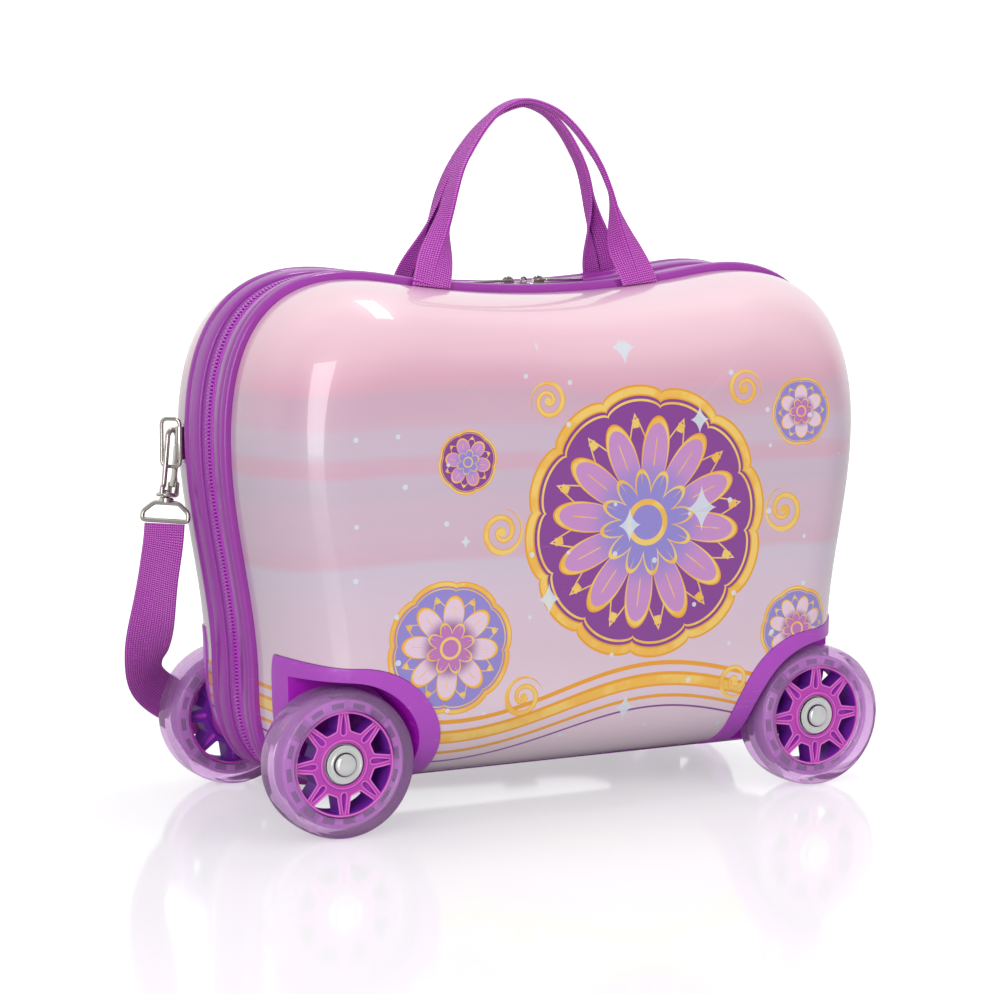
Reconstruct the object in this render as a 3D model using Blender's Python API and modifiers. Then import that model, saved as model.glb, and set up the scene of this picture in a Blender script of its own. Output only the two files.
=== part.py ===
"""Ride-on suitcase for a small child.

Two moulded half shells close against each other on two moulded rims with a zip between them.
Four cantilevered wheels turn in housings at the lower corners, two webbing loops carry the case,
and a webbing strap clips to a ring at each end. X runs along the case, Y across it with the front
half at negative Y, and Z up from the floor.
"""
import math

import bmesh
import bpy
import numpy as np
from mathutils import Matrix, Vector

MM = 0.001

# Clearances
GAP = 0.3 * MM
SEAM_GAP = 0.4 * MM

# Side outline of the case, measured on the shells' outer surface
HALF_LENGTH = 185.5 * MM
WIDEST_Z = 205 * MM
SADDLE_Z = 280 * MM
SADDLE_RADIUS = 600 * MM
SADDLE_HALF = 80 * MM
SHOULDER_DRAW = 66.5 * MM
SHOULDER_Z = 289.8 * MM
WAIST_DRAW = 14.5 * MM
WAIST_Z = 74 * MM
FOOT_X = HALF_LENGTH - 49.5 * MM
BELLY_Z = 21.5 * MM

# Depth of the case and its soft corners
HALF_DEPTH = 91 * MM
CORNER_START = 35 * MM
CORNER_SIDE = 42 * MM
CORNER_TOP = 40 * MM
CORNER_BELLY = 50 * MM
FACE_CROWN = 2 * MM
FACE_FLAT = 0.55
SHELL_WALL = 2.4 * MM
LINING_WALL = 0.8 * MM
LINING_INSET = 4.9 * MM

# Rims
RIM_EDGE = 29.2 * MM
RIM_LIP = 10.3 * MM
RIM_CROWN = 4.6 * MM
RIM_WALL = 2.5 * MM
RIM_TONGUE = 5 * MM
LIP_UNDER = 0.9 * MM

# Zip
COIL_HALF = 4.6 * MM
COIL_TOP = 2 * MM
COIL_UNDER = 1.4 * MM
COIL_PARTING = 0.6 * MM
TAPE_WALL = 1.2 * MM
TAPE_REACH = 14.7 * MM
SLIDER_LENGTH = 15 * MM
SLIDER_WIDTH = 9.5 * MM
SLIDER_PLATE = 1.5 * MM
SLIDER_NECK = 0.5 * MM
SLIDER_X = {"left": -7 * MM, "right": 12 * MM}
LUG_LENGTH = 6 * MM
LUG_WIDTH = 2.2 * MM
LUG_HEIGHT = 3.2 * MM
PULL_BAR = 0.6 * MM
PULL_WALL = 1.2 * MM
PULL_WIDTH = 6.4 * MM
PULL_LENGTH = 29 * MM

# Lower hinge
HINGE_Z = 15.4 * MM
HINGE_X = 55 * MM
KNUCKLE_RADIUS = 3.2 * MM
KNUCKLE_LENGTH = 12 * MM
HINGE_PIN_RADIUS = 1.4 * MM

# Wheels
WHEEL_RADIUS = 40 * MM
WHEEL_HALF_WIDTH = 14 * MM
WHEEL_INSET = 39.6 * MM
WHEEL_X = HALF_LENGTH - WHEEL_INSET
WHEEL_Y = 75.5 * MM
HUB_RADIUS = 28.2 * MM
HUB_HALF_WIDTH = 9.3 * MM
HUB_RIM_WALL = 3.7 * MM
HUB_WEB = 7 * MM
BOSS_WALL = 3.2 * MM
SPOKES = 8
LIGHT_RING_RADIUS = 34 * MM
LIGHT_RING_HALF_WIDTH = 7.5 * MM
BEARING_RADIUS = 11 * MM
BOLT_RADIUS = 4 * MM
BOLT_HEAD_RADIUS = 5.8 * MM
BOLT_HEAD_HEIGHT = 3.2 * MM
WASHER_RADIUS = 10.2 * MM
WASHER_WALL = 1 * MM
NUT_WIDTH = 13 * MM
NUT_HEIGHT = 6 * MM

# Wheel housings
HOUSING_INNER_Y = 42 * MM
PLATE_Y = 60.5 * MM
PLATE_WALL = 3 * MM
ARCH_CLEARANCE = 3.5 * MM
LIP_RADIUS = 49.5 * MM
LIP_SHIFT = 5.9 * MM
LIP_CENTRE_X = WHEEL_X - LIP_SHIFT
LIP_CENTRE_Z = 41 * MM
LIP_END_Z = 96 * MM
LIP_PROUD = 0.9 * MM
HOUSING_WALL = 3 * MM
HOUSING_CORNER = 9 * MM
AXLE_BOSS_RADIUS = 9 * MM
AXLE_BOSS_LENGTH = 9 * MM

# Webbing handles
WEBBING_WIDTH = 25 * MM
WEBBING_WALL = 1.8 * MM
HANDLE_WIDTH = 20.5 * MM
GRIP_WIDTH = 11 * MM
GRIP_WALL = 2.6 * MM
HANDLE_Y = 32.6 * MM
GRIP_Y = 6.8 * MM
HANDLE_TOP_Z = {"front": 384.8 * MM, "back": 382.6 * MM}
HANDLE_TOP_X = {"front": -1 * MM, "back": 6.5 * MM}
HANDLE_FEET = {"front": (-70 * MM, 59.3 * MM), "back": (-52.5 * MM, 70 * MM)}
HANDLE_BOW = {"front": 0.055, "back": -0.025}
HANDLE_WIND = {"front": (84, 112), "back": (84, 93)}
FOLD_SHARE = 0.19

# Strap, its hardware and its rings
RING_WIRE = 1.1 * MM
RING_LOW_Z = 187 * MM
RING_HEIGHT = 26 * MM
RING_REACH = 10.5 * MM
RING_STANDOFF = 5.3 * MM
RING_X = HALF_LENGTH + RING_STANDOFF
RING_Y = 31.5 * MM
RING_SWING = math.radians(47.6)
RING_CATCH = 6.4 * MM
BARREL_WALL = 1.1 * MM
BARREL_LENGTH = 18 * MM
PLATE_THICK = 1.4 * MM
PLATE_LENGTH = 7 * MM
HOOK_WIRE = 1.5 * MM
HOOK_TURN = math.radians(30)
HOOK_SHANK = 3.15 * MM
HOOK_NOSE = 5.05 * MM
HOOK_SLOPE = (0.14, 0.11)
HOOK_CATCH_RISE = 18.6 * MM
HOOK_RISE = 34.5 * MM
HOOK_MOUTH = 30.5 * MM
FLANGE_RADIUS = 6 * MM
FLANGE_LOW = 1.9 * MM
FLANGE_HEIGHT = 2.4 * MM
POST_RADIUS = 1.7 * MM
POST_HEAD_RADIUS = 2.6 * MM
POST_HEAD_HEIGHT = 1.2 * MM
GATE_PIN_RISE = 9 * MM
GATE_WIDTH = 3.4 * MM
GATE_WALL = 1.5 * MM
LOOP_TURN = math.radians(-50)
LOOP_TOP_HALF = 7.5 * MM
LOOP_HALF = 14.2 * MM
LOOP_SHOULDER = 6.5 * MM
LOOP_DROP = 11 * MM
LOOP_WIRE = 1.3 * MM

# The strap's free stretch stands on its edge behind the back wheels
STRAP_BELOW = ((-203, 33.5, 130), (-204, 41, 105), (-202, 57, 83), (-195.5, 77, 65), (-184, 92, 53),
               (-165, 100, 41), (-138, 105, 29), (-100, 111, 17), (-50, 119, 13.4), (0, 114, 14), (42, 117, 16.4),
               (62, 117, 16.6), (82, 117, 16.6), (110, 111, 18.5), (138, 105, 29), (165, 100, 41), (184, 92, 53),
               (195.5, 77, 65), (202, 57, 83), (204, 41, 105), (203, 33.5, 130))
STRAP_STEPS = 72
STRAP_TURN = (0.08, 0.5)
ADJUSTER_X = 62 * MM
ADJUSTER_LENGTH = 22 * MM
ADJUSTER_WALL = 2.4 * MM

# Mesh fineness
TURN_STEPS = 20
SMALL_STEPS = 12
CORNER_STEPS = 4

COLLECTION = "ride_on_suitcase"
CUTTERS = "cutters"


def clear_scene():
    for thing in list(bpy.data.objects):
        bpy.data.objects.remove(thing, do_unlink=True)
    for name in (COLLECTION, CUTTERS):
        group = bpy.data.collections.new(name)
        bpy.context.scene.collection.children.link(group)


def material(name, colour, roughness, metallic=0.0, alpha=1.0):
    made = bpy.data.materials.get(name)
    if made:
        return made
    made = bpy.data.materials.new(name)
    made.use_nodes = True
    surface = made.node_tree.nodes["Principled BSDF"]
    surface.inputs["Base Color"].default_value = (*colour, 1.0)
    surface.inputs["Roughness"].default_value = roughness
    surface.inputs["Metallic"].default_value = metallic
    surface.inputs["Alpha"].default_value = alpha
    made.diffuse_color = (*colour, alpha)
    return made


def shell_pink():
    return material("printed_shell", (0.90, 0.70, 0.78), 0.12)


def rim_purple():
    return material("rim_plastic", (0.42, 0.10, 0.50), 0.25)


def housing_purple():
    return material("housing_plastic", (0.45, 0.12, 0.55), 0.35)


def zip_purple():
    return material("zip_tape", (0.36, 0.04, 0.42), 0.7)


def webbing_purple():
    return material("webbing", (0.45, 0.07, 0.50), 0.75)


def lining_grey():
    return material("lining_cloth", (0.55, 0.50, 0.58), 0.85)


def tyre_lilac():
    return material("tyre_clear", (0.55, 0.33, 0.60), 0.2, alpha=0.75)


def light_lilac():
    return material("light_ring", (0.75, 0.60, 0.80), 0.3)


def hub_violet():
    return material("hub_plastic", (0.48, 0.10, 0.50), 0.3)


def bright_metal():
    return material("bright_metal", (0.75, 0.75, 0.75), 0.18, 1.0)


def bearing_steel():
    return material("bearing_steel", (0.5, 0.5, 0.5), 0.3, 1.0)


def add(name, mesh, finish, location=(0, 0, 0), rotation=(0, 0, 0)):
    """Puts a mesh into the part's collection as the node of that name."""
    made = bpy.data.objects.new(name, mesh)
    made.location = location
    made.rotation_euler = rotation
    bpy.data.collections[COLLECTION].objects.link(made)
    made.data.materials.clear()
    made.data.materials.append(finish)
    return made


def as_cutter(thing):
    """Moves a solid to the cutters, where it shapes others and is no piece itself."""
    for group in list(thing.users_collection):
        group.objects.unlink(thing)
    bpy.data.collections[CUTTERS].objects.link(thing)
    thing.hide_render = True
    thing.display_type = "WIRE"
    return thing


def cut(target, tool, operation="DIFFERENCE"):
    """Adds a Boolean of a cutter to a piece."""
    step = target.modifiers.new(operation.lower(), "BOOLEAN")
    step.operation = operation
    step.solver = "EXACT"
    step.object = as_cutter(tool)
    return target


def settled(thing):
    """The mesh of an object with its modifiers applied, in world space, its doubles merged."""
    bpy.context.view_layer.update()
    seen = thing.evaluated_get(bpy.context.evaluated_depsgraph_get())
    mesh = bpy.data.meshes.new_from_object(seen)
    mesh.transform(thing.matrix_world)
    work = bmesh.new()
    work.from_mesh(mesh)
    bmesh.ops.remove_doubles(work, verts=work.verts, dist=0.002 * MM)
    work.to_mesh(mesh)
    work.free()
    return mesh


def mirrored(source, name, along_x, along_y, origin=(0, 0, 0)):
    """A copy of a settled piece turned over to another quarter of the case, with its own origin."""
    mesh = settled(source)
    work = bmesh.new()
    work.from_mesh(mesh)
    for corner in work.verts:
        corner.co.x *= along_x
        corner.co.y *= along_y
    if along_x * along_y < 0:
        bmesh.ops.reverse_faces(work, faces=work.faces)
    bmesh.ops.translate(work, verts=work.verts, vec=-Vector(origin))
    work.to_mesh(mesh)
    work.free()
    return add(name, mesh, source.data.materials[0], origin)


def smooth(thing, angle=35):
    thing.data.shade_smooth()
    thing.data.set_sharp_from_angle(angle=math.radians(angle))
    return thing


def mesh_from(name, points, faces):
    """A mesh of given points and faces with its normals made to point outwards."""
    mesh = bpy.data.meshes.new(name)
    mesh.from_pydata([tuple(p) for p in points], [], faces)
    work = bmesh.new()
    work.from_mesh(mesh)
    bmesh.ops.recalc_face_normals(work, faces=work.faces)
    work.to_mesh(mesh)
    work.free()
    return mesh


def strip_faces(rings, sides, closed_sides=True, closed_rings=False):
    """Quads between rings of equal point counts, numbered ring after ring."""
    faces = []
    spans = sides if closed_sides else sides - 1
    for i in range(rings if closed_rings else rings - 1):
        j = (i + 1) % rings
        for k in range(spans):
            m = (k + 1) % sides
            faces.append((i * sides + k, i * sides + m, j * sides + m, j * sides + k))
    return faces


def lofted(name, rings, finish, closed=False):
    """A closed solid through sections of equal point counts, capped unless it closes on itself."""
    count, sides = len(rings), len(rings[0])
    faces = strip_faces(count, sides, closed_rings=closed)
    if not closed:
        faces.append(tuple(range(sides)))
        faces.append(tuple((count - 1) * sides + k for k in range(sides)))
    points = [p for ring in rings for p in ring]
    return add(name, mesh_from(name, points, faces), finish)


def prism(name, outline, low, high, axis):
    """A closed prism of a flat outline, extruded along one world axis from low to high."""
    def place(a, b, c):
        return {"x": (c, a, b), "y": (a, c, b), "z": (a, b, c)}[axis]
    rings = [[place(a, b, level) for a, b in outline] for level in (low, high)]
    return lofted(name, rings, rim_purple())


def box(name, low, high, finish=None):
    """An axis-aligned box between two corners."""
    work = bmesh.new()
    bmesh.ops.create_cube(work, size=1.0)
    size = [high[i] - low[i] for i in range(3)]
    bmesh.ops.scale(work, vec=size, verts=work.verts)
    bmesh.ops.translate(work, vec=[(high[i] + low[i]) / 2 for i in range(3)], verts=work.verts)
    mesh = bpy.data.meshes.new(name)
    work.to_mesh(mesh)
    work.free()
    return add(name, mesh, finish or rim_purple())


def cylinder(name, start, end, radius, steps=SMALL_STEPS, finish=None):
    """A closed cylinder between two points."""
    start, end = Vector(start), Vector(end)
    work = bmesh.new()
    bmesh.ops.create_cone(work, cap_ends=True, segments=steps, radius1=radius, radius2=radius,
                          depth=(end - start).length)
    turn = (end - start).to_track_quat("Z", "Y").to_matrix().to_4x4()
    bmesh.ops.transform(work, matrix=Matrix.Translation((start + end) / 2) @ turn, verts=work.verts)
    mesh = bpy.data.meshes.new(name)
    work.to_mesh(mesh)
    work.free()
    return add(name, mesh, finish or rim_purple())


def turned(name, profile, finish, location, rotation, steps=TURN_STEPS, closed=True):
    """A Screw of a profile of (radius, height) points about the object's own Z."""
    area = sum(a[0] * b[1] - b[0] * a[1] for a, b in zip(profile, profile[1:] + profile[:1]))
    if area > 0:
        profile = profile[::-1]
    mesh = bpy.data.meshes.new(name)
    edges = [(i, i + 1) for i in range(len(profile) - 1)]
    if closed:
        edges.append((len(profile) - 1, 0))
    mesh.from_pydata([(r, 0, h) for r, h in profile], edges, [])
    made = add(name, mesh, finish, location, rotation)
    spin = made.modifiers.new("turn", "SCREW")
    spin.axis = "Z"
    spin.angle = math.tau
    spin.steps = steps
    spin.render_steps = steps
    spin.use_merge_vertices = True
    spin.merge_threshold = 0.00001
    return made


def wire(name, points, radius, finish, closed=False, sides=2):
    """A round wire through points, made a mesh with welded caps."""
    curve = bpy.data.curves.new(name, "CURVE")
    curve.dimensions = "3D"
    curve.bevel_depth = radius
    curve.bevel_resolution = sides
    curve.use_fill_caps = True
    spline = curve.splines.new("POLY")
    spline.points.add(len(points) - 1)
    for spot, point in zip(spline.points, points):
        spot.co = (*point, 1.0)
    spline.use_cyclic_u = closed
    guide = bpy.data.objects.new(name + "_line", curve)
    bpy.data.collections[COLLECTION].objects.link(guide)
    mesh = settled(guide)
    bpy.data.objects.remove(guide, do_unlink=True)
    return add(name, mesh, finish)


def bezier(a, b, c, d, steps):
    """Points of a cubic from a to d, the last one left out."""
    t = np.linspace(0, 1, steps, endpoint=False)[:, None]
    a, b, c, d = (np.array(p, float) for p in (a, b, c, d))
    return (1 - t) ** 3 * a + 3 * (1 - t) ** 2 * t * b + 3 * (1 - t) * t ** 2 * c + t ** 3 * d


def half_outline(inset_side=0.0, inset_top=0.0, inset_belly=0.0, steps=(3, 2, 6, 3, 5)):
    """The case's side outline from the middle of the saddle round one end to the middle of the belly."""
    share = max(inset_side, inset_top, inset_belly) / CORNER_BELLY
    round_off = 1 - 0.42 * share
    reach = math.asin(SADDLE_HALF / SADDLE_RADIUS)
    radius = SADDLE_RADIUS + inset_top
    turn = np.linspace(0, reach, steps[0], endpoint=False)
    saddle = np.stack([radius * np.sin(turn), SADDLE_Z + SADDLE_RADIUS - radius * np.cos(turn)], 1)
    edge = np.array([radius * math.sin(reach), SADDLE_Z + SADDLE_RADIUS - radius * math.cos(reach)])
    shoulder = np.array([HALF_LENGTH - SHOULDER_DRAW - 0.55 * inset_side, SHOULDER_Z - inset_top])
    widest = np.array([HALF_LENGTH - inset_side, WIDEST_Z - 0.2 * inset_top])
    waist = np.array([HALF_LENGTH - WAIST_DRAW - inset_side, WAIST_Z + 0.6 * inset_belly])
    foot = np.array([FOOT_X - 0.75 * inset_side, BELLY_Z + inset_belly])
    slope = np.array([math.cos(reach), math.sin(reach)])
    rise = (shoulder[0] - edge[0]) * 0.35
    flank = 0.351 * (WIDEST_Z - WAIST_Z) * round_off
    foot_turn = (HALF_LENGTH - FOOT_X) * round_off
    parts = [
        saddle,
        bezier(edge, edge + slope * rise, shoulder - (rise, 0), shoulder, steps[1]),
        bezier(shoulder, shoulder + (0.707 * SHOULDER_DRAW * round_off, 0),
               widest + (0, 0.625 * (SHOULDER_Z - WIDEST_Z) * round_off), widest, steps[2]),
        bezier(widest, widest - (0, flank), waist + (0, flank), waist, steps[3]),
        bezier(waist, waist - (0, 0.724 * (WAIST_Z - BELLY_Z) * round_off), foot + (0.465 * foot_turn, 0), foot,
               steps[4]),
        np.array([foot, (foot[0] * 0.868, foot[1]), (foot[0] / 2.4, foot[1]), (0, foot[1])]),
    ]
    return np.concatenate(parts)


def outline(*insets):
    """The whole closed outline as (x, z) points, from the saddle clockwise as seen from the front."""
    half = half_outline(*insets)
    return np.concatenate([half, half[-2:0:-1] * (-1, 1)])


def outward(points):
    """Unit normals of a closed outline, in its own plane."""
    along = np.roll(points, -1, 0) - np.roll(points, 1, 0)
    along /= np.linalg.norm(along, axis=1)[:, None]
    return np.stack([-along[:, 1], along[:, 0]], 1)


OUTLINE = outline()
NORMALS = outward(OUTLINE)
FACE = outline(CORNER_SIDE, CORNER_TOP, CORNER_BELLY)
FACE_CENTRE = np.array([0.0, (FACE[:, 1].max() + FACE[:, 1].min()) / 2])


def skin_rings(inset, start, every=1, steps=CORNER_STEPS):
    """Rings of one half's skin on the positive Y side, from the seam to the crowned face."""
    edge = (OUTLINE - NORMALS * inset)[::every]
    face = FACE[::every]
    depth = HALF_DEPTH - inset - CORNER_START
    rings = [np.insert(edge, 1, start, axis=1)]
    for turn in np.linspace(0, math.pi / 2, steps + 1):
        flat = face + (edge - face) * math.cos(turn)
        rings.append(np.insert(flat, 1, CORNER_START + depth * math.sin(turn), axis=1))
    flat = FACE_CENTRE + (face - FACE_CENTRE) * FACE_FLAT
    rings.append(np.insert(flat, 1, CORNER_START + depth + FACE_CROWN, axis=1))
    centre = (FACE_CENTRE[0], CORNER_START + depth + FACE_CROWN, FACE_CENTRE[1])
    return rings, centre


def skin(name, finish, inset, start, closed, every=1, steps=CORNER_STEPS):
    """One half's skin on the positive Y side: an open surface, or a closed block with a flat back."""
    rings, centre = skin_rings(inset, start, every, steps)
    count, sides = len(rings), len(rings[0])
    points = [p for ring in rings for p in ring] + [centre]
    faces = strip_faces(count, sides)
    last = (count - 1) * sides
    faces += [(last + k, last + (k + 1) % sides, len(points) - 1) for k in range(sides)]
    if closed:
        faces.append(tuple(range(sides)))
    mesh = mesh_from(name, points, faces)
    made = add(name, mesh, finish)
    if not closed and made.data.polygons[0].normal.dot(Vector((0, 0, 1))) < 0:
        made.data.flip_normals()
    return made


def housing_outline(grow):
    """The housing's side outline: an arc about the wheel that runs out to the end of the case."""
    radius = LIP_RADIUS + grow
    arc = [(LIP_CENTRE_X - radius * math.cos(t), LIP_CENTRE_Z + radius * math.sin(t))
           for t in np.linspace(0, math.pi / 2, 8)]
    end_x = HALF_LENGTH + 20 * MM
    return [(LIP_CENTRE_X - radius, -10 * MM)] + arc + [
        (LIP_CENTRE_X + 12 * MM, arc[-1][1] + 0.8 * MM),
        (LIP_CENTRE_X + 26 * MM, LIP_END_Z + grow), (end_x, LIP_END_Z + grow), (end_x, -10 * MM)]


def housing_section(grow):
    """The housing's end view: from its inner plane outwards, with a rounded upper inner corner."""
    inner, top = HOUSING_INNER_Y - grow, LIP_END_Z + 2 * MM + grow
    radius = HOUSING_CORNER + grow
    arc = [(inner + radius * (1 - math.cos(t)), top - radius * (1 - math.sin(t)))
           for t in np.linspace(0, math.pi / 2, 4)]
    outer = HALF_DEPTH + 20 * MM
    return [(inner, -20 * MM)] + arc + [(outer, top), (outer, -20 * MM)]


def housing_envelope(name, grow):
    """The space that a housing takes up in the back right quarter."""
    block = prism(name, housing_outline(grow), HOUSING_INNER_Y - 5 * MM, HALF_DEPTH + 15 * MM, "y")
    tool = prism(name + "_end", housing_section(grow), LIP_CENTRE_X - LIP_RADIUS - 10 * MM,
                 HALF_LENGTH + 30 * MM, "x")
    return cut(block, tool, "INTERSECT")


def well_outline():
    """The wheel well's side outline: the arch over the wheel, open to the end and to the floor."""
    radius = WHEEL_RADIUS + ARCH_CLEARANCE
    arc = [(WHEEL_X - radius * math.cos(t), WHEEL_RADIUS + radius * math.sin(t))
           for t in np.linspace(0, math.pi / 2, 8)]
    end_x = HALF_LENGTH + 30 * MM
    return [(WHEEL_X - radius, -20 * MM)] + arc + [(end_x, arc[-1][1] + 2 * MM), (end_x, -20 * MM)]


def housings():
    """Four wheel housings, cut from the case's own outer form and hollow towards the inside."""
    made = skin("housing_back_right", housing_purple(), -LIP_PROUD, CORNER_START - 1 * MM, True)
    cut(made, housing_envelope("housing_space", 0.0), "INTERSECT")
    cut(made, prism("wheel_well", well_outline(), PLATE_Y, HALF_DEPTH + 20 * MM, "y"))
    pocket = skin("housing_pocket", rim_purple(), HOUSING_WALL, CORNER_START - 1 * MM, True)
    cut(pocket, prism("pocket_side", housing_outline(-HOUSING_WALL), HOUSING_INNER_Y - 1 * MM,
                      PLATE_Y - PLATE_WALL, "y"), "INTERSECT")
    cut(made, pocket)
    boss = cylinder("axle_boss", (WHEEL_X, PLATE_Y - PLATE_WALL - AXLE_BOSS_LENGTH, WHEEL_RADIUS),
                    (WHEEL_X, PLATE_Y - PLATE_WALL / 2, WHEEL_RADIUS), AXLE_BOSS_RADIUS)
    cut(made, boss, "UNION")
    cut(made, cylinder("axle_hole", (WHEEL_X, HOUSING_INNER_Y - 10 * MM, WHEEL_RADIUS),
                       (WHEEL_X, PLATE_Y + 10 * MM, WHEEL_RADIUS), BOLT_RADIUS + GAP))
    made.data.materials[0] = housing_purple()
    mirrored(made, "housing_back_left", -1, 1)
    mirrored(made, "housing_front_right", 1, -1)
    mirrored(made, "housing_front_left", -1, -1)


def shells():
    """The two printed half shells, notched at the lower corners for the housings."""
    made = skin("back_shell", shell_pink(), 0.0, RIM_EDGE + GAP, False)
    wall = made.modifiers.new("wall", "SOLIDIFY")
    wall.thickness = SHELL_WALL
    wall.offset = -1
    notch = housing_envelope("shell_notch", GAP)
    other = bpy.data.objects.new("shell_notch_left", mirror_mesh(notch, -1, 1))
    bpy.data.collections[CUTTERS].objects.link(other)
    cut(made, notch)
    cut(made, other)
    smooth(made)
    mirrored(made, "front_shell", 1, -1)


def mirror_mesh(source, along_x, along_y):
    """A mirrored mesh of a settled cutter."""
    copy = mirrored(source, source.name + "_copy", along_x, along_y)
    mesh = copy.data
    bpy.data.objects.remove(copy, do_unlink=True)
    return mesh


def linings():
    """The cloth lining of each half, just inside the shell and past the rim's tongue."""
    start = RIM_EDGE + RIM_TONGUE + GAP
    made = skin("back_lining", lining_grey(), LINING_INSET, start, False, every=2, steps=3)
    wall = made.modifiers.new("wall", "SOLIDIFY")
    wall.thickness = LINING_WALL
    wall.offset = -1
    notch = housing_envelope("lining_notch", 2 * GAP)
    other = bpy.data.objects.new("lining_notch_left", mirror_mesh(notch, -1, 1))
    bpy.data.collections[CUTTERS].objects.link(other)
    cut(made, notch)
    cut(made, other)
    smooth(made)
    mirrored(made, "front_lining", 1, -1)


def section_at(index, profile):
    """A profile of (depth, height) points stood on the outline at one station."""
    base, normal = OUTLINE[index], NORMALS[index]
    return [(base[0] + normal[0] * h, y, base[1] + normal[1] * h) for y, h in profile]


def rim_profile(lip):
    """The rim's section: tongue behind the shell, convex band, lip over the zip tape."""
    under = -SHELL_WALL - GAP
    deep = under - RIM_WALL
    return [(RIM_EDGE + RIM_TONGUE, deep), (RIM_EDGE + RIM_TONGUE, under), (RIM_EDGE, under),
            (RIM_EDGE, 1 * MM), (RIM_EDGE - 3.6 * MM, RIM_CROWN * 0.8), (20 * MM, RIM_CROWN),
            (lip + 3.2 * MM, RIM_CROWN * 0.87), (lip, RIM_CROWN * 0.57), (lip, LIP_UNDER),
            (TAPE_REACH + GAP, LIP_UNDER), (TAPE_REACH + GAP, deep)]


def seam_lip(point):
    """How near the rim's lip comes to the seam: it closes where there is no zip, along the belly."""
    on_belly = point[1] < BELLY_Z + 1 * MM and abs(point[0]) < FOOT_X - 10 * MM
    return SEAM_GAP if on_belly else RIM_LIP


def knuckles(side, spans):
    """Hinge knuckles with their leaves, as one solid for each span along the hinge line."""
    made = []
    for number, (low, high) in enumerate(spans):
        barrel = cylinder(f"knuckle_{side}_{number}", (low, 0, HINGE_Z), (high, 0, HINGE_Z), KNUCKLE_RADIUS,
                          steps=8)
        leaf = box(f"leaf_{side}_{number}", (low, KNUCKLE_RADIUS * 0.3, HINGE_Z + KNUCKLE_RADIUS * 0.2),
                   (high, KNUCKLE_RADIUS + 5 * MM, BELLY_Z - RIM_CROWN * 0.57 + 0.6 * MM))
        made.append(cut(barrel, leaf, "UNION"))
    return made


def rims():
    """The two moulded rims, with the hinge knuckles below them."""
    rings = [section_at(i, rim_profile(seam_lip(point))) for i, point in enumerate(OUTLINE)]
    long_half = KNUCKLE_LENGTH / 2
    middle = [(s * HINGE_X - long_half, s * HINGE_X + long_half) for s in (-1, 1)]
    outer = [(s * HINGE_X + t * (long_half + GAP + KNUCKLE_LENGTH / 2) - KNUCKLE_LENGTH / 2,
              s * HINGE_X + t * (long_half + GAP + KNUCKLE_LENGTH / 2) + KNUCKLE_LENGTH / 2)
             for s in (-1, 1) for t in (-1, 1)]
    for name, spans, along_y in (("back_rim", middle, 1), ("front_rim", outer, -1)):
        made = lofted(name + "_band", rings, rim_purple(), closed=True)
        for solid in knuckles(name, spans):
            cut(made, solid, "UNION")
        reach = HINGE_X + 3 * KNUCKLE_LENGTH
        cut(made, cylinder(name + "_pin_hole", (-reach, 0, HINGE_Z), (reach, 0, HINGE_Z),
                           HINGE_PIN_RADIUS + 2 * GAP, steps=8))
        smooth(mirrored(made, name, 1, along_y))
        bpy.data.objects.remove(made, do_unlink=True)
    reach = KNUCKLE_LENGTH * 1.5 + 2 * GAP
    for side, sign in (("left", -1), ("right", 1)):
        cylinder("hinge_pin_" + side, (sign * HINGE_X - reach, 0, HINGE_Z), (sign * HINGE_X + reach, 0, HINGE_Z),
                 HINGE_PIN_RADIUS, steps=8, finish=bearing_steel())


def zip_halves():
    """Tape and coil on each rim, from one foot of the case over the top to the other."""
    half = TAPE_WALL / 2
    coil_edge = COIL_PARTING + COIL_HALF
    profile = [(COIL_PARTING, -COIL_UNDER), (COIL_PARTING, COIL_TOP), (coil_edge, COIL_TOP),
               (coil_edge + 1 * MM, half), (TAPE_REACH, half), (TAPE_REACH, -half)]
    foot = next(i for i, p in enumerate(OUTLINE) if p[1] < BELLY_Z + 0.01 * MM)
    count = len(OUTLINE)
    route = list(range(count - foot, count)) + list(range(foot + 1))
    made = lofted("zip_half_back", [section_at(i, profile) for i in route], zip_purple())
    smooth(made)
    mirrored(made, "zip_half_front", 1, -1)


def on_saddle(x, height):
    """A point over the saddle at a height above the shell's surface, and the slope there."""
    turn = math.asin(x / SADDLE_RADIUS)
    radius = SADDLE_RADIUS - height
    centre_z = SADDLE_Z + SADDLE_RADIUS
    return Vector((radius * math.sin(turn), 0, centre_z - radius * math.cos(turn))), turn


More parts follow.
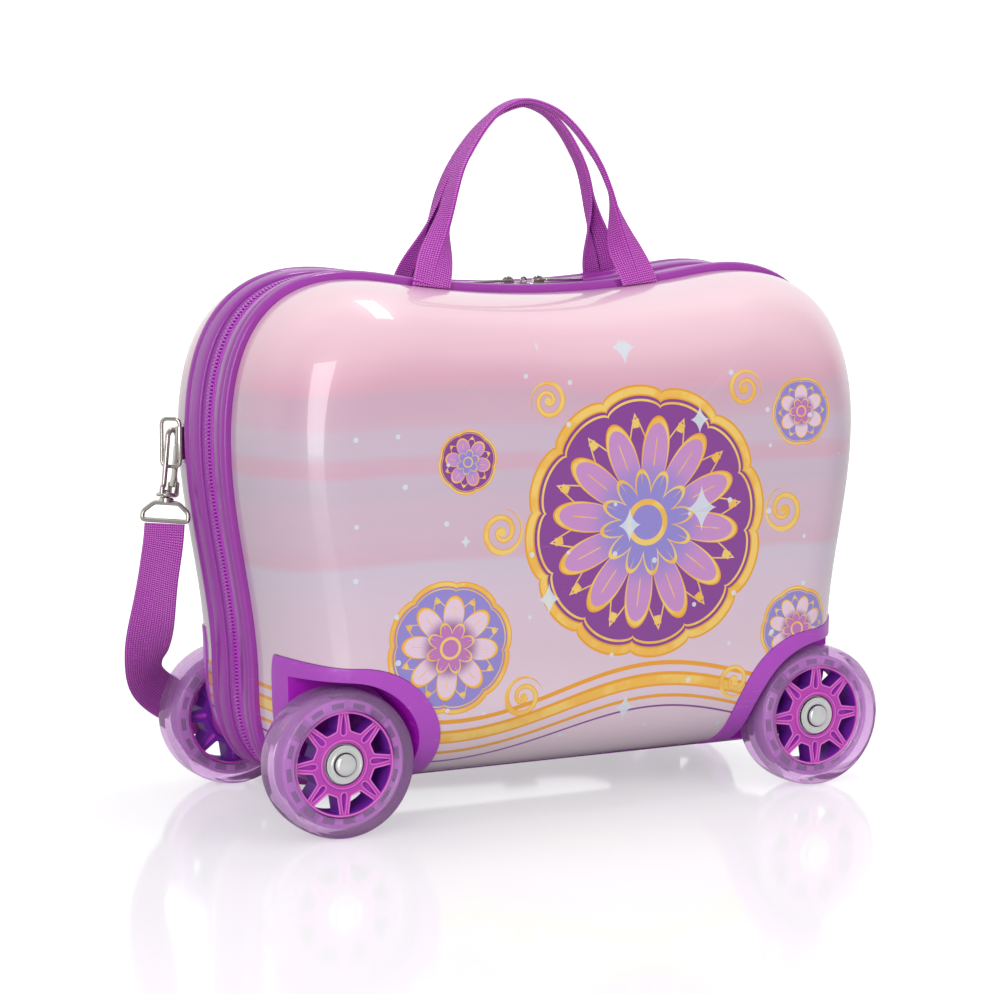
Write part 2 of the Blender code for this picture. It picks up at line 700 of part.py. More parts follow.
def slider(side, sign):
    """A zip slider that grips the coil from above and below, with a lug for its pull."""
    half_w = SLIDER_WIDTH / 2
    half_l = SLIDER_LENGTH / 2
    top = COIL_TOP + GAP
    bottom = -COIL_UNDER - GAP
    plan = [(half_l * math.cos(t) ** 1.0, half_w * math.sin(t)) for t in np.linspace(0, math.tau, 11)[:-1]]
    made = prism("zip_slider_" + side, plan, top, top + SLIDER_PLATE, "z")
    made.data.materials[0] = bright_metal()
    under = prism("slider_under_" + side, plan, bottom - SLIDER_PLATE, bottom, "z")
    neck = box("slider_neck_" + side, (-half_l * 0.5, -SLIDER_NECK / 2, bottom - SLIDER_PLATE / 2),
               (half_l * 0.5, SLIDER_NECK / 2, top + SLIDER_PLATE / 2))
    lug = box("slider_lug_" + side, (-LUG_LENGTH / 2, -LUG_WIDTH / 2, top + SLIDER_PLATE / 2),
              (LUG_LENGTH / 2, LUG_WIDTH / 2, top + SLIDER_PLATE + LUG_HEIGHT))
    cut(made, neck, "UNION")
    cut(made, under, "UNION")
    cut(made, lug, "UNION")
    eye_z = top + SLIDER_PLATE + LUG_HEIGHT / 2
    cut(made, cylinder("slider_eye_" + side, (0, -LUG_WIDTH, eye_z), (0, LUG_WIDTH, eye_z), PULL_BAR + GAP,
                       steps=8))
    mesh = settled(made)
    bpy.data.objects.remove(made, do_unlink=True)
    place, turn = on_saddle(SLIDER_X[side], 0)
    return add("zip_slider_" + side, mesh, bright_metal(), place, (0, -turn, 0)), eye_z


def pull(side, sign, eye_z):
    """A zip pull: a bar through the slider's lug, a frame round the lug and a long flat tab."""
    inner = LUG_WIDTH / 2 + GAP
    half_w = PULL_WIDTH / 2
    reach = LUG_LENGTH / 2 + 2 * GAP
    half = PULL_WALL / 2
    tab = [(reach, -half_w), (PULL_LENGTH - 2 * MM, -half_w * 0.9), (PULL_LENGTH, -half_w * 0.5),
           (PULL_LENGTH, half_w * 0.5), (PULL_LENGTH - 2 * MM, half_w * 0.9), (reach, half_w)]
    made = prism("zip_pull_" + side, tab, -half, half, "z")
    made.data.materials[0] = bright_metal()
    for s in (-1, 1):
        low, high = sorted((s * inner, s * half_w * 0.85))
        ear = box(f"pull_ear_{side}_{s}", (-PULL_BAR * 1.5, low, -half * 0.9), (reach + 1 * MM, high, half * 0.9))
        cut(made, ear, "UNION")
    bar = cylinder("pull_bar_" + side, (0, -inner - 0.5 * MM, 0), (0, inner + 0.5 * MM, 0), PULL_BAR * 0.8, steps=8)
    cut(made, bar, "UNION")
    mesh = settled(made)
    bpy.data.objects.remove(made, do_unlink=True)
    place, turn = on_saddle(SLIDER_X[side], eye_z)
    droop = math.atan2(eye_z - COIL_TOP - GAP - half - 0.4 * MM, PULL_LENGTH) - sign * turn
    spin = droop - PULL_LENGTH / (2 * SADDLE_RADIUS)
    matrix = Matrix.Rotation(spin, 4, "Y")
    if sign < 0:
        matrix = Matrix.Rotation(math.pi, 4, "Z") @ matrix
    mesh.transform(matrix)
    return add("zip_pull_" + side, mesh, bright_metal(), place)


def zip_sliders():
    for side, sign in (("left", -1), ("right", 1)):
        made, eye_z = slider(side, sign)
        pull(side, sign, eye_z)


def quarters():
    """The four wheel positions: name, side along X, side along Y."""
    return [(f"{depth}_{end}", sx, sy) for depth, sy in (("front", -1), ("back", 1))
            for end, sx in (("left", -1), ("right", 1))]


def tyre_profile():
    """The tyre's section: rounded tread, flat flanks, and a groove inside for the light ring."""
    bore = HUB_RADIUS + GAP
    r, w = WHEEL_RADIUS, WHEEL_HALF_WIDTH
    groove_r = LIGHT_RING_RADIUS + GAP
    groove_w = LIGHT_RING_HALF_WIDTH + GAP
    outer = [(bore, w * 0.86), (r - 6.5 * MM, w), (r - 2.4 * MM, w * 0.78), (r, w * 0.32)]
    return outer + [(a, -b) for a, b in outer[::-1]] + [
        (bore, -groove_w), (groove_r, -groove_w), (groove_r, groove_w), (bore, groove_w)]


def hub_profile():
    """The hub's section: outer ring, web and boss."""
    bore = BEARING_RADIUS + GAP
    boss = bore + BOSS_WALL
    inner = HUB_RADIUS - HUB_RIM_WALL
    w, web = HUB_HALF_WIDTH, HUB_WEB / 2
    face = w - WASHER_WALL
    return [(HUB_RADIUS, w), (HUB_RADIUS, -w), (bore, -w), (bore, face), (boss, face), (boss, web),
            (inner, web), (inner, w)]


def spoke_gaps(place):
    """Eight wedge openings between the spokes, as one cutter."""
    inner = BEARING_RADIUS + GAP + BOSS_WALL + 1.6 * MM
    outer = HUB_RADIUS - HUB_RIM_WALL - 1.2 * MM
    points, faces = [], []
    for k in range(SPOKES):
        middle = math.tau * (k + 0.5) / SPOKES
        for level in (-HUB_HALF_WIDTH * 2, HUB_HALF_WIDTH * 2):
            for radius, half in ((inner, 0.13), (outer, 0.25), (outer, -0.25), (inner, -0.13)):
                t = middle + half
                points.append((radius * math.cos(t), radius * math.sin(t), level))
        b = 8 * k
        faces += [(b, b + 1, b + 2, b + 3), (b + 7, b + 6, b + 5, b + 4)]
        faces += [(b + i, b + 4 + i, b + 4 + (i + 1) % 4, b + (i + 1) % 4) for i in range(4)]
    return add("spoke_gaps_" + place, mesh_from("spoke_gaps", points, faces), hub_violet())


def wheels():
    """Four wheels on their bolts: what turns, and what holds it to the housing."""
    hub = None
    for place, sx, sy in quarters():
        spot = (sx * WHEEL_X, sy * WHEEL_Y, WHEEL_RADIUS)
        facing = (-sy * math.pi / 2, 0, 0)
        smooth(turned("tyre_" + place, tyre_profile(), tyre_lilac(), spot, facing))
        bore = HUB_RADIUS + GAP
        w = LIGHT_RING_HALF_WIDTH
        smooth(turned("light_ring_" + place, [(bore, w), (LIGHT_RING_RADIUS, w), (LIGHT_RING_RADIUS, -w),
                                              (bore, -w)], light_lilac(), spot, facing))
        if hub is None:
            hub = turned("hub_blank", hub_profile(), hub_violet(), (0, 0, 0), (0, 0, 0))
            cut(hub, spoke_gaps("blank"))
            hub_mesh = settled(hub)
            bpy.data.objects.remove(hub, do_unlink=True)
        smooth(add("hub_" + place, hub_mesh.copy(), hub_violet(), spot, facing))
        bearing_and_bolt(place, sx, sy, spot, facing)


def bearing_and_bolt(place, sx, sy, spot, facing):
    """Bearing in the hub, washer and bolt from outside, nut on the boss inside the case."""
    inner = BOLT_RADIUS + GAP
    low, high = -HUB_HALF_WIDTH, HUB_HALF_WIDTH - WASHER_WALL - GAP
    turned("bearing_" + place, [(inner, high), (BEARING_RADIUS, high), (BEARING_RADIUS, low), (inner, low)],
           bearing_steel(), spot, facing, steps=SMALL_STEPS)
    low, high = HUB_HALF_WIDTH - WASHER_WALL + GAP, HUB_HALF_WIDTH + GAP
    smooth(turned("axle_washer_" + place, [(inner, high), (WASHER_RADIUS, high), (WASHER_RADIUS, low),
                                           (inner, low)], bright_metal(), spot, facing, steps=SMALL_STEPS))
    seat = high + GAP
    boss_end = -(WHEEL_Y - PLATE_Y + PLATE_WALL + AXLE_BOSS_LENGTH)
    tip = boss_end - GAP - NUT_HEIGHT - 1 * MM
    dome = [(BOLT_HEAD_RADIUS * math.cos(t), seat + BOLT_HEAD_HEIGHT * (0.35 + 0.65 * math.sin(t)))
            for t in np.linspace(0, math.pi / 2, 3)[:-1]]
    profile = [(0, seat + BOLT_HEAD_HEIGHT)] + dome[::-1] + [(BOLT_HEAD_RADIUS, seat), (BOLT_RADIUS, seat),
                                                             (BOLT_RADIUS, tip), (0, tip)]
    smooth(turned("axle_bolt_" + place, profile, bright_metal(), spot, facing, steps=SMALL_STEPS, closed=False))
    nut_low, nut_high = boss_end - GAP - NUT_HEIGHT, boss_end - GAP
    corner = NUT_WIDTH / math.sqrt(3)
    y = [sy * (WHEEL_Y + level) for level in (nut_low, nut_high)]
    nut = cylinder("nut_blank", (spot[0], min(y), spot[2]), (spot[0], max(y), spot[2]), corner, steps=6,
                   finish=bearing_steel())
    cut(nut, cylinder("nut_bore", (spot[0], min(y) - 5 * MM, spot[2]), (spot[0], max(y) + 5 * MM, spot[2]), inner))
    mirrored(nut, "axle_nut_" + place, 1, 1)
    bpy.data.objects.remove(nut, do_unlink=True)


def spline_through(points, count):
    """Evenly spread points on a smooth curve through hand-set points, and their parameters."""
    points = np.array(points, float)
    gaps = np.sqrt(np.linalg.norm(np.diff(points, axis=0), axis=1))
    knots = np.concatenate([[0], np.cumsum(gaps)])
    slopes = np.gradient(points, knots, axis=0)
    fine_t = np.linspace(0, knots[-1], 400)
    i = np.clip(np.searchsorted(knots, fine_t, "right") - 1, 0, len(gaps) - 1)
    h = gaps[i][:, None]
    s = ((fine_t - knots[i]) / gaps[i])[:, None]
    fine = ((2 * s ** 3 - 3 * s ** 2 + 1) * points[i] + (s ** 3 - 2 * s ** 2 + s) * h * slopes[i]
            + (3 * s ** 2 - 2 * s ** 3) * points[i + 1] + (s ** 3 - s ** 2) * h * slopes[i + 1])
    along = np.concatenate([[0], np.cumsum(np.linalg.norm(np.diff(fine, axis=0), axis=1))])
    even = np.linspace(0, along[-1], count)
    spread = np.stack([np.interp(even, along, fine[:, k]) for k in range(3)], 1)
    return spread, np.interp(even, along, fine_t) / knots[-1]


def band(name, centres, across, width, wall, finish, square_ends=False):
    """A flat band of webbing along a line, its width set along a given direction at each point.

    Width and wall are single sizes, or a size for each point.
    """
    width = np.broadcast_to(width, len(centres))
    wall = np.broadcast_to(wall, len(centres))
    along = np.gradient(centres, axis=0)
    along /= np.linalg.norm(along, axis=1)[:, None]
    given = across.copy()
    across = across - (across * along).sum(1)[:, None] * along
    across /= np.linalg.norm(across, axis=1)[:, None]
    thick = np.cross(along, across)
    if square_ends:
        for end, way in ((0, 1), (-1, -1)):
            across[end] = given[end]
            thick[end] = np.array((0.0, way * math.copysign(1.0, thick[end][1] * way), 0.0))
    rings = [[c + a * w / 2 + t * h / 2, c - a * w / 2 + t * h / 2,
              c - a * w / 2 - t * h / 2, c + a * w / 2 - t * h / 2]
             for c, a, t, w, h in zip(centres, across, thick, width, wall)]
    return lofted(name, rings, finish)


def handle_line(name, side):
    """A handle's middle line: legs that lean in over the saddle and meet in an arch."""
    feet, top_x, bow = HANDLE_FEET[name], HANDLE_TOP_X[name], HANDLE_BOW[name]
    foot_y, top_y = side * HANDLE_Y, side * GRIP_Y
    half = [(0.0, 1.0), (0.25, 0.955), (0.42, 0.87), (0.575, 0.75), (0.69, 0.63), (0.79, 0.46), (0.91, 0.22),
            (1.0, 0.0)]
    points = []
    for foot_x, row, way in ((feet[0], half[:0:-1], -1), (feet[1], half, 1)):
        foot, turn = on_saddle(foot_x, GAP + 0.2 * MM)
        rise = HANDLE_TOP_Z[name] - foot.z
        points += [(top_x + (foot_x - top_x) * (a + way * bow * 4 * a * (1 - a)), foot_y + (top_y - foot_y) * b,
                    foot.z + rise * b) for a, b in row]
    return points


def handles():
    """Two webbing loops, flat on the rims at their feet and folded in two lengthwise along the grip."""
    for name, side in (("front", -1), ("back", 1)):
        feet = HANDLE_FEET[name]
        centres, t = spline_through(handle_line(name, side), 23)
        fold = np.clip(np.minimum(t, 1 - t) / FOLD_SHARE, 0, 1)
        fold = fold * fold * (3 - 2 * fold)
        first, last = np.radians(HANDLE_WIND[name])
        middle = np.clip((t - FOLD_SHARE) / (1 - 2 * FOLD_SHARE), 0, 1)
        wind = np.where(t < 0.5, first * fold + (last - first) * middle,
                        math.pi - (math.pi - last) * fold - (last - first) * (1 - middle))
        level = np.stack([np.cos(wind), side * np.sin(wind), 0 * t], 1)
        for end, way in ((0, 1), (-1, -1)):
            turn = on_saddle(feet[end], 0)[1]
            level[end] = (way * math.cos(turn), 0, way * math.sin(turn))
        made = band("handle_" + name, centres, level, HANDLE_WIDTH + (GRIP_WIDTH - HANDLE_WIDTH) * fold,
                    WEBBING_WALL + (GRIP_WALL - WEBBING_WALL) * fold, webbing_purple(), square_ends=True)
        place = (0, side * HANDLE_Y, handle_hinge_z(feet))
        made.data.transform(Matrix.Translation(-Vector(place)))
        made.location = place
        smooth(made)


def handle_hinge_z(feet):
    """The line that a handle folds on: level with the highest edge of its feet."""
    edge, turn = on_saddle(max(abs(x) for x in feet) + HANDLE_WIDTH / 2, GAP + WEBBING_WALL / 2)
    return edge.z


def ring_side(point_x, point_y, z):
    """A point beside the left ring's hinge, given along the wall's own axes."""
    return Vector((-RING_X + point_x, RING_Y + point_y, z))


def ring_plates():
    """Plate and barrel on the end wall, with the ring's hinge bar in the barrel."""
    middle = RING_LOW_Z + RING_HEIGHT / 2
    low, high = middle - BARREL_LENGTH / 2, middle + BARREL_LENGTH / 2
    wall_x = -HALF_LENGTH - GAP
    radius = RING_WIRE + GAP + BARREL_WALL
    made = box("ring_plate_left", (wall_x - PLATE_THICK, RIM_EDGE + 2 * GAP, low - 3 * MM),
               (wall_x, RIM_EDGE + 2 * GAP + PLATE_LENGTH, high + 3 * MM), bright_metal())
    neck = box("plate_neck", (-RING_X, RING_Y - radius * 0.8, low),
               (wall_x - PLATE_THICK / 2, RING_Y + radius * 0.8, high))
    barrel = cylinder("plate_barrel", ring_side(0, 0, low), ring_side(0, 0, high), radius)
    bore = cylinder("plate_bore", ring_side(0, 0, low - 5 * MM), ring_side(0, 0, high + 5 * MM), RING_WIRE + GAP)
    cut(made, neck, "UNION")
    cut(made, barrel, "UNION")
    cut(made, bore)
    mirrored(made, "ring_plate_right", -1, 1)
    away = Vector((-math.sin(RING_SWING), math.cos(RING_SWING), 0)) * RING_REACH
    near, far = ring_side(0, 0, 0), ring_side(0, 0, 0) + away
    bend = 2.2 * MM
    step = away.normalized() * bend
    top, bottom = RING_LOW_Z + RING_HEIGHT, RING_LOW_Z
    up = Vector((0, 0, 1))
    line = [near + up * (bottom + bend), near + up * (top - bend), near + step + up * top,
            far - step + up * top, far + up * (top - bend), far + up * (bottom + bend),
            far - step + up * bottom, near + step + up * bottom]
    ring = wire("ring_blank", line, RING_WIRE, bright_metal(), closed=True, sides=1)
    hinge = (-RING_X, RING_Y, middle)
    smooth(mirrored(ring, "strap_ring_left", 1, 1, hinge))
    smooth(mirrored(ring, "strap_ring_right", -1, 1, (RING_X, RING_Y, middle)))
    bpy.data.objects.remove(ring, do_unlink=True)


def hook_frame():
    """Where the left hook's swivel stands: its point, its axis, and the hook's and loop's flat directions."""
    away = Vector((-math.sin(RING_SWING), math.cos(RING_SWING), 0)) * RING_CATCH
    catch = ring_side(0, 0, RING_LOW_Z) + away
    axis = Vector((*HOOK_SLOPE, 1)).normalized()
    foot = catch - axis * HOOK_CATCH_RISE
    flats = []
    for turn in (HOOK_TURN, LOOP_TURN):
        flat = Vector((math.cos(turn), math.sin(turn), 0))
        flats.append((flat - axis * flat.dot(axis)).normalized())
    return foot, axis, flats[0], flats[1]


def stand(flat, axis, foot):
    """The matrix that stands local X along a flat direction and local Z along the swivel's axis."""
    turn = Matrix((flat, axis.cross(flat), axis)).transposed().to_4x4()
    return Matrix.Translation(foot) @ turn


def swivels():
    """Snap hook, its sprung gate, and the loop that the hook turns on and that holds the strap."""
    foot, axis, hook_flat, loop_flat = hook_frame()
    top = FLANGE_LOW + FLANGE_HEIGHT
    arch = (HOOK_SHANK + HOOK_NOSE) / 2
    middle = (HOOK_NOSE - HOOK_SHANK) / 2
    root = POST_HEAD_RADIUS + GAP + HOOK_WIRE
    clear = top + POST_HEAD_HEIGHT + 2 * GAP
    line = [Vector((-root, 0, FLANGE_LOW + FLANGE_HEIGHT / 2)), Vector((-root, 0, clear)),
            Vector((-HOOK_SHANK, 0, clear + 2.5 * MM)), Vector((-HOOK_SHANK, 0, HOOK_RISE))]
    line += [Vector((middle - arch * math.cos(t), 0, HOOK_RISE + arch * math.sin(t)))
             for t in np.linspace(0, math.pi, 6)[1:]]
    line += [Vector((HOOK_NOSE, 0, HOOK_MOUTH + GAP))]
    hook = wire("hook_blank", line, HOOK_WIRE, bright_metal(), sides=1)
    flange = cylinder("hook_flange", (0, 0, FLANGE_LOW), (0, 0, top), FLANGE_RADIUS, steps=10)
    lug = box("hook_lug", (HOOK_NOSE - 1.6 * MM, -GATE_WIDTH / 2 - GAP - 1 * MM, FLANGE_LOW + 0.5 * MM),
              (HOOK_NOSE + 1.6 * MM, GATE_WIDTH / 2 + GAP + 1 * MM, GATE_PIN_RISE + 1.6 * MM))
    slot = box("hook_lug_slot", (HOOK_NOSE - 5 * MM, -GATE_WIDTH / 2 - GAP, top + GAP),
               (HOOK_NOSE + 5 * MM, GATE_WIDTH / 2 + GAP, GATE_PIN_RISE + 5 * MM))
    pin = cylinder("hook_gate_pin", (HOOK_NOSE, -GATE_WIDTH / 2 - 1 * MM, GATE_PIN_RISE),
                   (HOOK_NOSE, GATE_WIDTH / 2 + 1 * MM, GATE_PIN_RISE), 0.7 * MM, steps=6)
    bore = cylinder("hook_bore", (0, 0, -5 * MM), (0, 0, top + 1 * MM), POST_RADIUS + GAP, steps=10)
    cut(cut(cut(cut(cut(hook, flange, "UNION"), lug, "UNION"), slot), pin, "UNION"), bore)
    blade = GATE_WIDTH / 2 - 0.2 * MM
    gate = box("gate_blank", (HOOK_NOSE - GATE_WALL / 2, -blade, GATE_PIN_RISE - 1.3 * MM),
               (HOOK_NOSE + GATE_WALL / 2, blade, HOOK_MOUTH), bright_metal())
    eye = cylinder("gate_eye", (HOOK_NOSE, -GATE_WIDTH / 2, GATE_PIN_RISE),
                   (HOOK_NOSE, GATE_WIDTH / 2, GATE_PIN_RISE), 1.9 * MM, steps=8)
    hole = cylinder("gate_hole", (HOOK_NOSE, -GATE_WIDTH, GATE_PIN_RISE), (HOOK_NOSE, GATE_WIDTH, GATE_PIN_RISE),
                    0.7 * MM + GAP, steps=6)
    cut(cut(gate, eye, "UNION"), hole)
    side_z = -LOOP_SHOULDER
    plate_z = -LOOP_WIRE
    frame = [Vector((-LOOP_TOP_HALF, 0, plate_z)), Vector((LOOP_TOP_HALF, 0, plate_z)),
             Vector((LOOP_HALF, 0, side_z)), Vector((LOOP_HALF, 0, -LOOP_DROP)),
             Vector((-LOOP_HALF, 0, -LOOP_DROP)), Vector((-LOOP_HALF, 0, side_z))]
    loop = wire("loop_blank", frame, LOOP_WIRE, bright_metal(), closed=True, sides=1)
    post = cylinder("loop_post", (0, 0, plate_z), (0, 0, top + GAP + 0.8 * MM), POST_RADIUS, steps=8)
    head = cylinder("loop_post_head", (0, 0, top + GAP), (0, 0, top + GAP + POST_HEAD_HEIGHT), POST_HEAD_RADIUS,
                    steps=8)
    seat = cylinder("loop_seat", (0, 0, plate_z), (0, 0, FLANGE_LOW - GAP), 4 * MM, steps=8)
    cut(cut(cut(loop, post, "UNION"), head, "UNION"), seat, "UNION")
    pin_spot = Vector((HOOK_NOSE, 0, GATE_PIN_RISE))
    for blank, name, flat, spot in ((hook, "snap_hook", hook_flat, Vector()), (gate, "snap_gate", hook_flat, pin_spot),
                                    (loop, "swivel_loop", loop_flat, Vector())):
        blank_mesh = settled(blank)
        bpy.data.objects.remove(blank, do_unlink=True)
        matrix = stand(flat, axis, foot)
        blank_mesh.transform(matrix)
        origin = matrix @ spot
        piece = add(name + "_blank", blank_mesh, bright_metal())
        smooth(mirrored(piece, name + "_left", 1, 1, origin))
        smooth(mirrored(piece, name + "_right", -1, 1, (-origin.x, origin.y, origin.z)))
        bpy.data.objects.remove(piece, do_unlink=True)


def turning_onto_edge(points, flat):
    """Width directions along a strap that leaves a loop flat and is wound over until it stands on its edge."""
    upright = Vector((0, 0, 1))
    span = len(points) * STRAP_TURN[1]
    begin = len(points) * STRAP_TURN[0]
    made = []
    for i, point in enumerate(points):
        along = (points[min(i + 1, len(points) - 1)] - points[max(i - 1, 0)]).normalized()
        flat = (flat - along * flat.dot(along)).normalized()
        edge = (upright - along * upright.dot(along)).normalized()
        angle = math.atan2(flat.cross(edge).dot(along), flat.dot(edge))
        share = min(max((i - begin) / (span - begin), 0), 1)
        share = share * share * (3 - 2 * share)
        made.append(Matrix.Rotation(angle * share, 3, along) @ flat)
    return [tuple(v) for v in made]


def strap():
    """The strap from loop to loop: it leaves flat, turns onto its edge and lies behind the wheels."""
    foot, axis, hook_flat, loop_flat = hook_frame()
    start = foot - axis * (LOOP_DROP + LOOP_WIRE + GAP)
    below = start - axis * 10 * MM
    end = [Vector((-p.x, p.y, p.z)) for p in (below, start)]
    points = [start, below] + [Vector(p) * MM for p in STRAP_BELOW] + end
    centres, t = spline_through(points, STRAP_STEPS)
    length = np.linalg.norm(np.diff(centres, axis=0), axis=1).sum()
    across = np.zeros_like(centres)
    half = len(centres) // 2
    for rows, way in ((range(half), 1), (range(len(centres) - 1, half - 1, -1), -1)):
        across[list(rows)] = turning_onto_edge([Vector(centres[i]) for i in rows],
                                               Vector((loop_flat.x * way, loop_flat.y, loop_flat.z)))
    made = band("tow_strap", centres, across, WEBBING_WIDTH, WEBBING_WALL, webbing_purple())
    smooth(made)
    spot = int(np.argmin(np.abs(centres[:, 0] - ADJUSTER_X)))
    along = Vector(centres[spot + 1] - centres[spot - 1])
    along.z = 0
    along.normalize()
    place = stand(along, Vector((0, 0, 1)), Vector(centres[spot]))
    half = WEBBING_WIDTH / 2 + 2 * GAP
    thin = WEBBING_WALL / 2 + 2 * GAP
    wall = ADJUSTER_WALL
    slide = box("strap_adjuster", (-ADJUSTER_LENGTH / 2, -thin - wall / 2, -half - wall),
                (ADJUSTER_LENGTH / 2, thin + wall / 2, half + wall), bright_metal())
    hole = box("adjuster_slot", (-ADJUSTER_LENGTH, -thin, -half), (ADJUSTER_LENGTH, thin, half))
    for thing in (slide, hole):
        thing.data.transform(place)
    cut(slide, hole)
    return length


def hang_on(name, place, pieces):
    """Parents pieces to an empty on the line that they turn about, without moving them."""
    line = bpy.data.objects.new(name, None)
    line.empty_display_size = 10 * MM
    line.location = place
    bpy.data.collections[COLLECTION].objects.link(line)
    for piece in pieces:
        piece.parent = line
        piece.matrix_parent_inverse = Matrix.Translation(-Vector(place))


def joint_lines():
    """The front half hangs on the lower hinge; each slider with its pull runs about the saddle's centre."""
    pieces = [p for p in bpy.data.collections[COLLECTION].objects if p.type == "MESH"]
    hang_on("lid_hinge_line", (0, 0, HINGE_Z), [p for p in pieces if "front" in p.name])
    for side in ("left", "right"):
        own = [p for p in pieces if p.name in ("zip_slider_" + side, "zip_pull_" + side)]
        hang_on("zip_run_" + side, (0, 0, SADDLE_Z + SADDLE_RADIUS), own)


def main():
    clear_scene()
    shells()
    rims()
    linings()
    zip_halves()
    zip_sliders()
    housings()
    wheels()
    handles()
    ring_plates()
    swivels()
    strap()
    joint_lines()


main()
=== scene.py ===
"""Looks of a ride-on suitcase for a small child: printed half shells, moulded rims, zip, webbing and wheels.

All lengths are in metres. X runs along the case, Y across it with the front half at negative Y, Z up.
"""
import math
from functools import partialmethod

import bmesh
import bpy
import numpy as np
from mathutils import Matrix, Vector


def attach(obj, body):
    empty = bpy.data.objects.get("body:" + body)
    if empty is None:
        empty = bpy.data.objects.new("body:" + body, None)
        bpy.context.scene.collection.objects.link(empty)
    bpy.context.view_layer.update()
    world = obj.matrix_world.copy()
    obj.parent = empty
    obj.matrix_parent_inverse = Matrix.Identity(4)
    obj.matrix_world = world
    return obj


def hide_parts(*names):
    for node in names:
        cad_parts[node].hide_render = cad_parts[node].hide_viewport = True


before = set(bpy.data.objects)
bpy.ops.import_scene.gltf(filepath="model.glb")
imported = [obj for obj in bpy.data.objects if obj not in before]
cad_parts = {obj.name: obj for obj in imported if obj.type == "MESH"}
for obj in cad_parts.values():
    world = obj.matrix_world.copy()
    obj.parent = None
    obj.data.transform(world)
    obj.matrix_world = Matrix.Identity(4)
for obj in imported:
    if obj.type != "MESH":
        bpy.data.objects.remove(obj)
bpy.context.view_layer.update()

MM = 0.001
GAP = 0.3 * MM

# Side outline of the case
HALF_LENGTH, WIDEST_Z = 0.1855, 0.205
SADDLE_Z, SADDLE_RADIUS, SADDLE_HALF = 0.280, 0.600, 0.080
SHOULDER_X, SHOULDER_Z = 0.119, 0.2898
WAIST_HALF, WAIST_Z = 0.171, 0.074
FOOT_X, BELLY_Z = 0.136, 0.0215

# Depth and soft corners
HALF_DEPTH, CORNER_START = 0.091, 0.035
CORNER_SIDE, CORNER_TOP, CORNER_BELLY = 0.042, 0.040, 0.050
FACE_CROWN, FACE_FLAT = 0.002, 0.55
SHELL_WALL, LINING_WALL, LINING_INSET = 0.0024, 0.0008, 0.0049

# Rims and zip
RIM_EDGE, RIM_LIP = 0.0292, 0.0103
RIM_WALL, RIM_TONGUE, LIP_UNDER, SEAM_GAP = 0.0025, 0.005, 0.0009, 0.0004
COIL_TOP, TAPE_REACH, TOOTH_PITCH, ZIP_END = 0.002, 0.0147, 0.002, 0.004
HINGE_Z, HINGE_X, KNUCKLE_RADIUS, KNUCKLE_LENGTH = 0.0154, 0.055, 0.0032, 0.012
SLIDER_X = {"left": -0.007, "right": 0.012}

# Zip slider and its pull
SLIDER_HALF, SLIDER_HALF_WIDTH, SLIDER_PLATE, SLIDER_LOW = 0.0075, 0.00475, 0.0015, -0.0032
PULL_LENGTH, PULL_HALF_WIDTH, PULL_HALF, PULL_EYE = 0.029, 0.0032, 0.0006, 0.0031

# Wheels
WHEEL_RADIUS, WHEEL_HALF_WIDTH, WHEEL_X, WHEEL_Y = 0.040, 0.014, 0.1459, 0.0755
HUB_RADIUS, HUB_HALF_WIDTH, HUB_WEB, HUB_SHOULDER = 0.0282, 0.0093, 0.0035, 0.0180
LIGHT_RADIUS, LIGHT_HALF_WIDTH = 0.034, 0.0075
BEARING_RADIUS, BOLT_RADIUS, BOLT_HEAD_RADIUS, BOLT_HEAD_EDGE, BOLT_DOME = 0.011, 0.004, 0.0058, 0.0010, 0.0022
WASHER_RADIUS = 0.0102
SPOKES, TYRE_STEP_RADIUS = 8, 0.0368
# Light core: windows and the frames round three of them; turns are half angles in radians, edges (radius, half width)
WINDOWS, WINDOW_TURN, WINDOW_RADIUS, CORE_START = 16, 0.114, 0.0313, 0.1
FRAMES, FRAME_TURN, FRAME_END, FRAME_EDGES = 4, 0.60, 0.554, ((0.02925, 0.00065), (0.0333, 0.0007))
NUT_HEIGHT, NUT_ACROSS = 0.006, 0.013

# Housings
HOUSING_INNER_Y, HOUSING_EDGE_Y, PLATE_Y, PLATE_WALL = 0.042, 0.0470, 0.0605, 0.003
ARCH_CLEARANCE, LIP_RADIUS, LIP_CENTRE_X, LIP_CENTRE_Z = 0.0035, 0.0495, 0.140, 0.041
LIP_END_Z, LIP_PROUD, HOUSING_WALL = 0.096, 0.0009, 0.003
BOSS_RADIUS, BOSS_LENGTH = 0.009, 0.009
# The inner end of bolt and nut, from the wheel's middle
NUT_LOW = PLATE_Y - WHEEL_Y - PLATE_WALL - BOSS_LENGTH - GAP - NUT_HEIGHT

# Webbing
WEBBING_WIDTH, WEBBING_WALL = 0.025, 0.0018
HANDLE_WIDTH, HANDLE_Y, GRIP_Y, FOLD_SHARE, FOLD_RADIUS, GRIP_LAYER = 0.0205, 0.0326, 0.0068, 0.19, 0.00065, 0.0012
# Each handle's top, its two feet along X, the bow of its legs, and the wind of its webbing in degrees
HANDLE_TOP_Z = {"front": 0.3848, "back": 0.3826}
HANDLE_TOP_X = {"front": -0.001, "back": 0.0065}
HANDLE_FEET = {"front": (-0.070, 0.0593), "back": (-0.0525, 0.070)}
HANDLE_BOW = {"front": 0.055, "back": -0.025}
HANDLE_WIND = {"front": (84, 112), "back": (84, 93)}

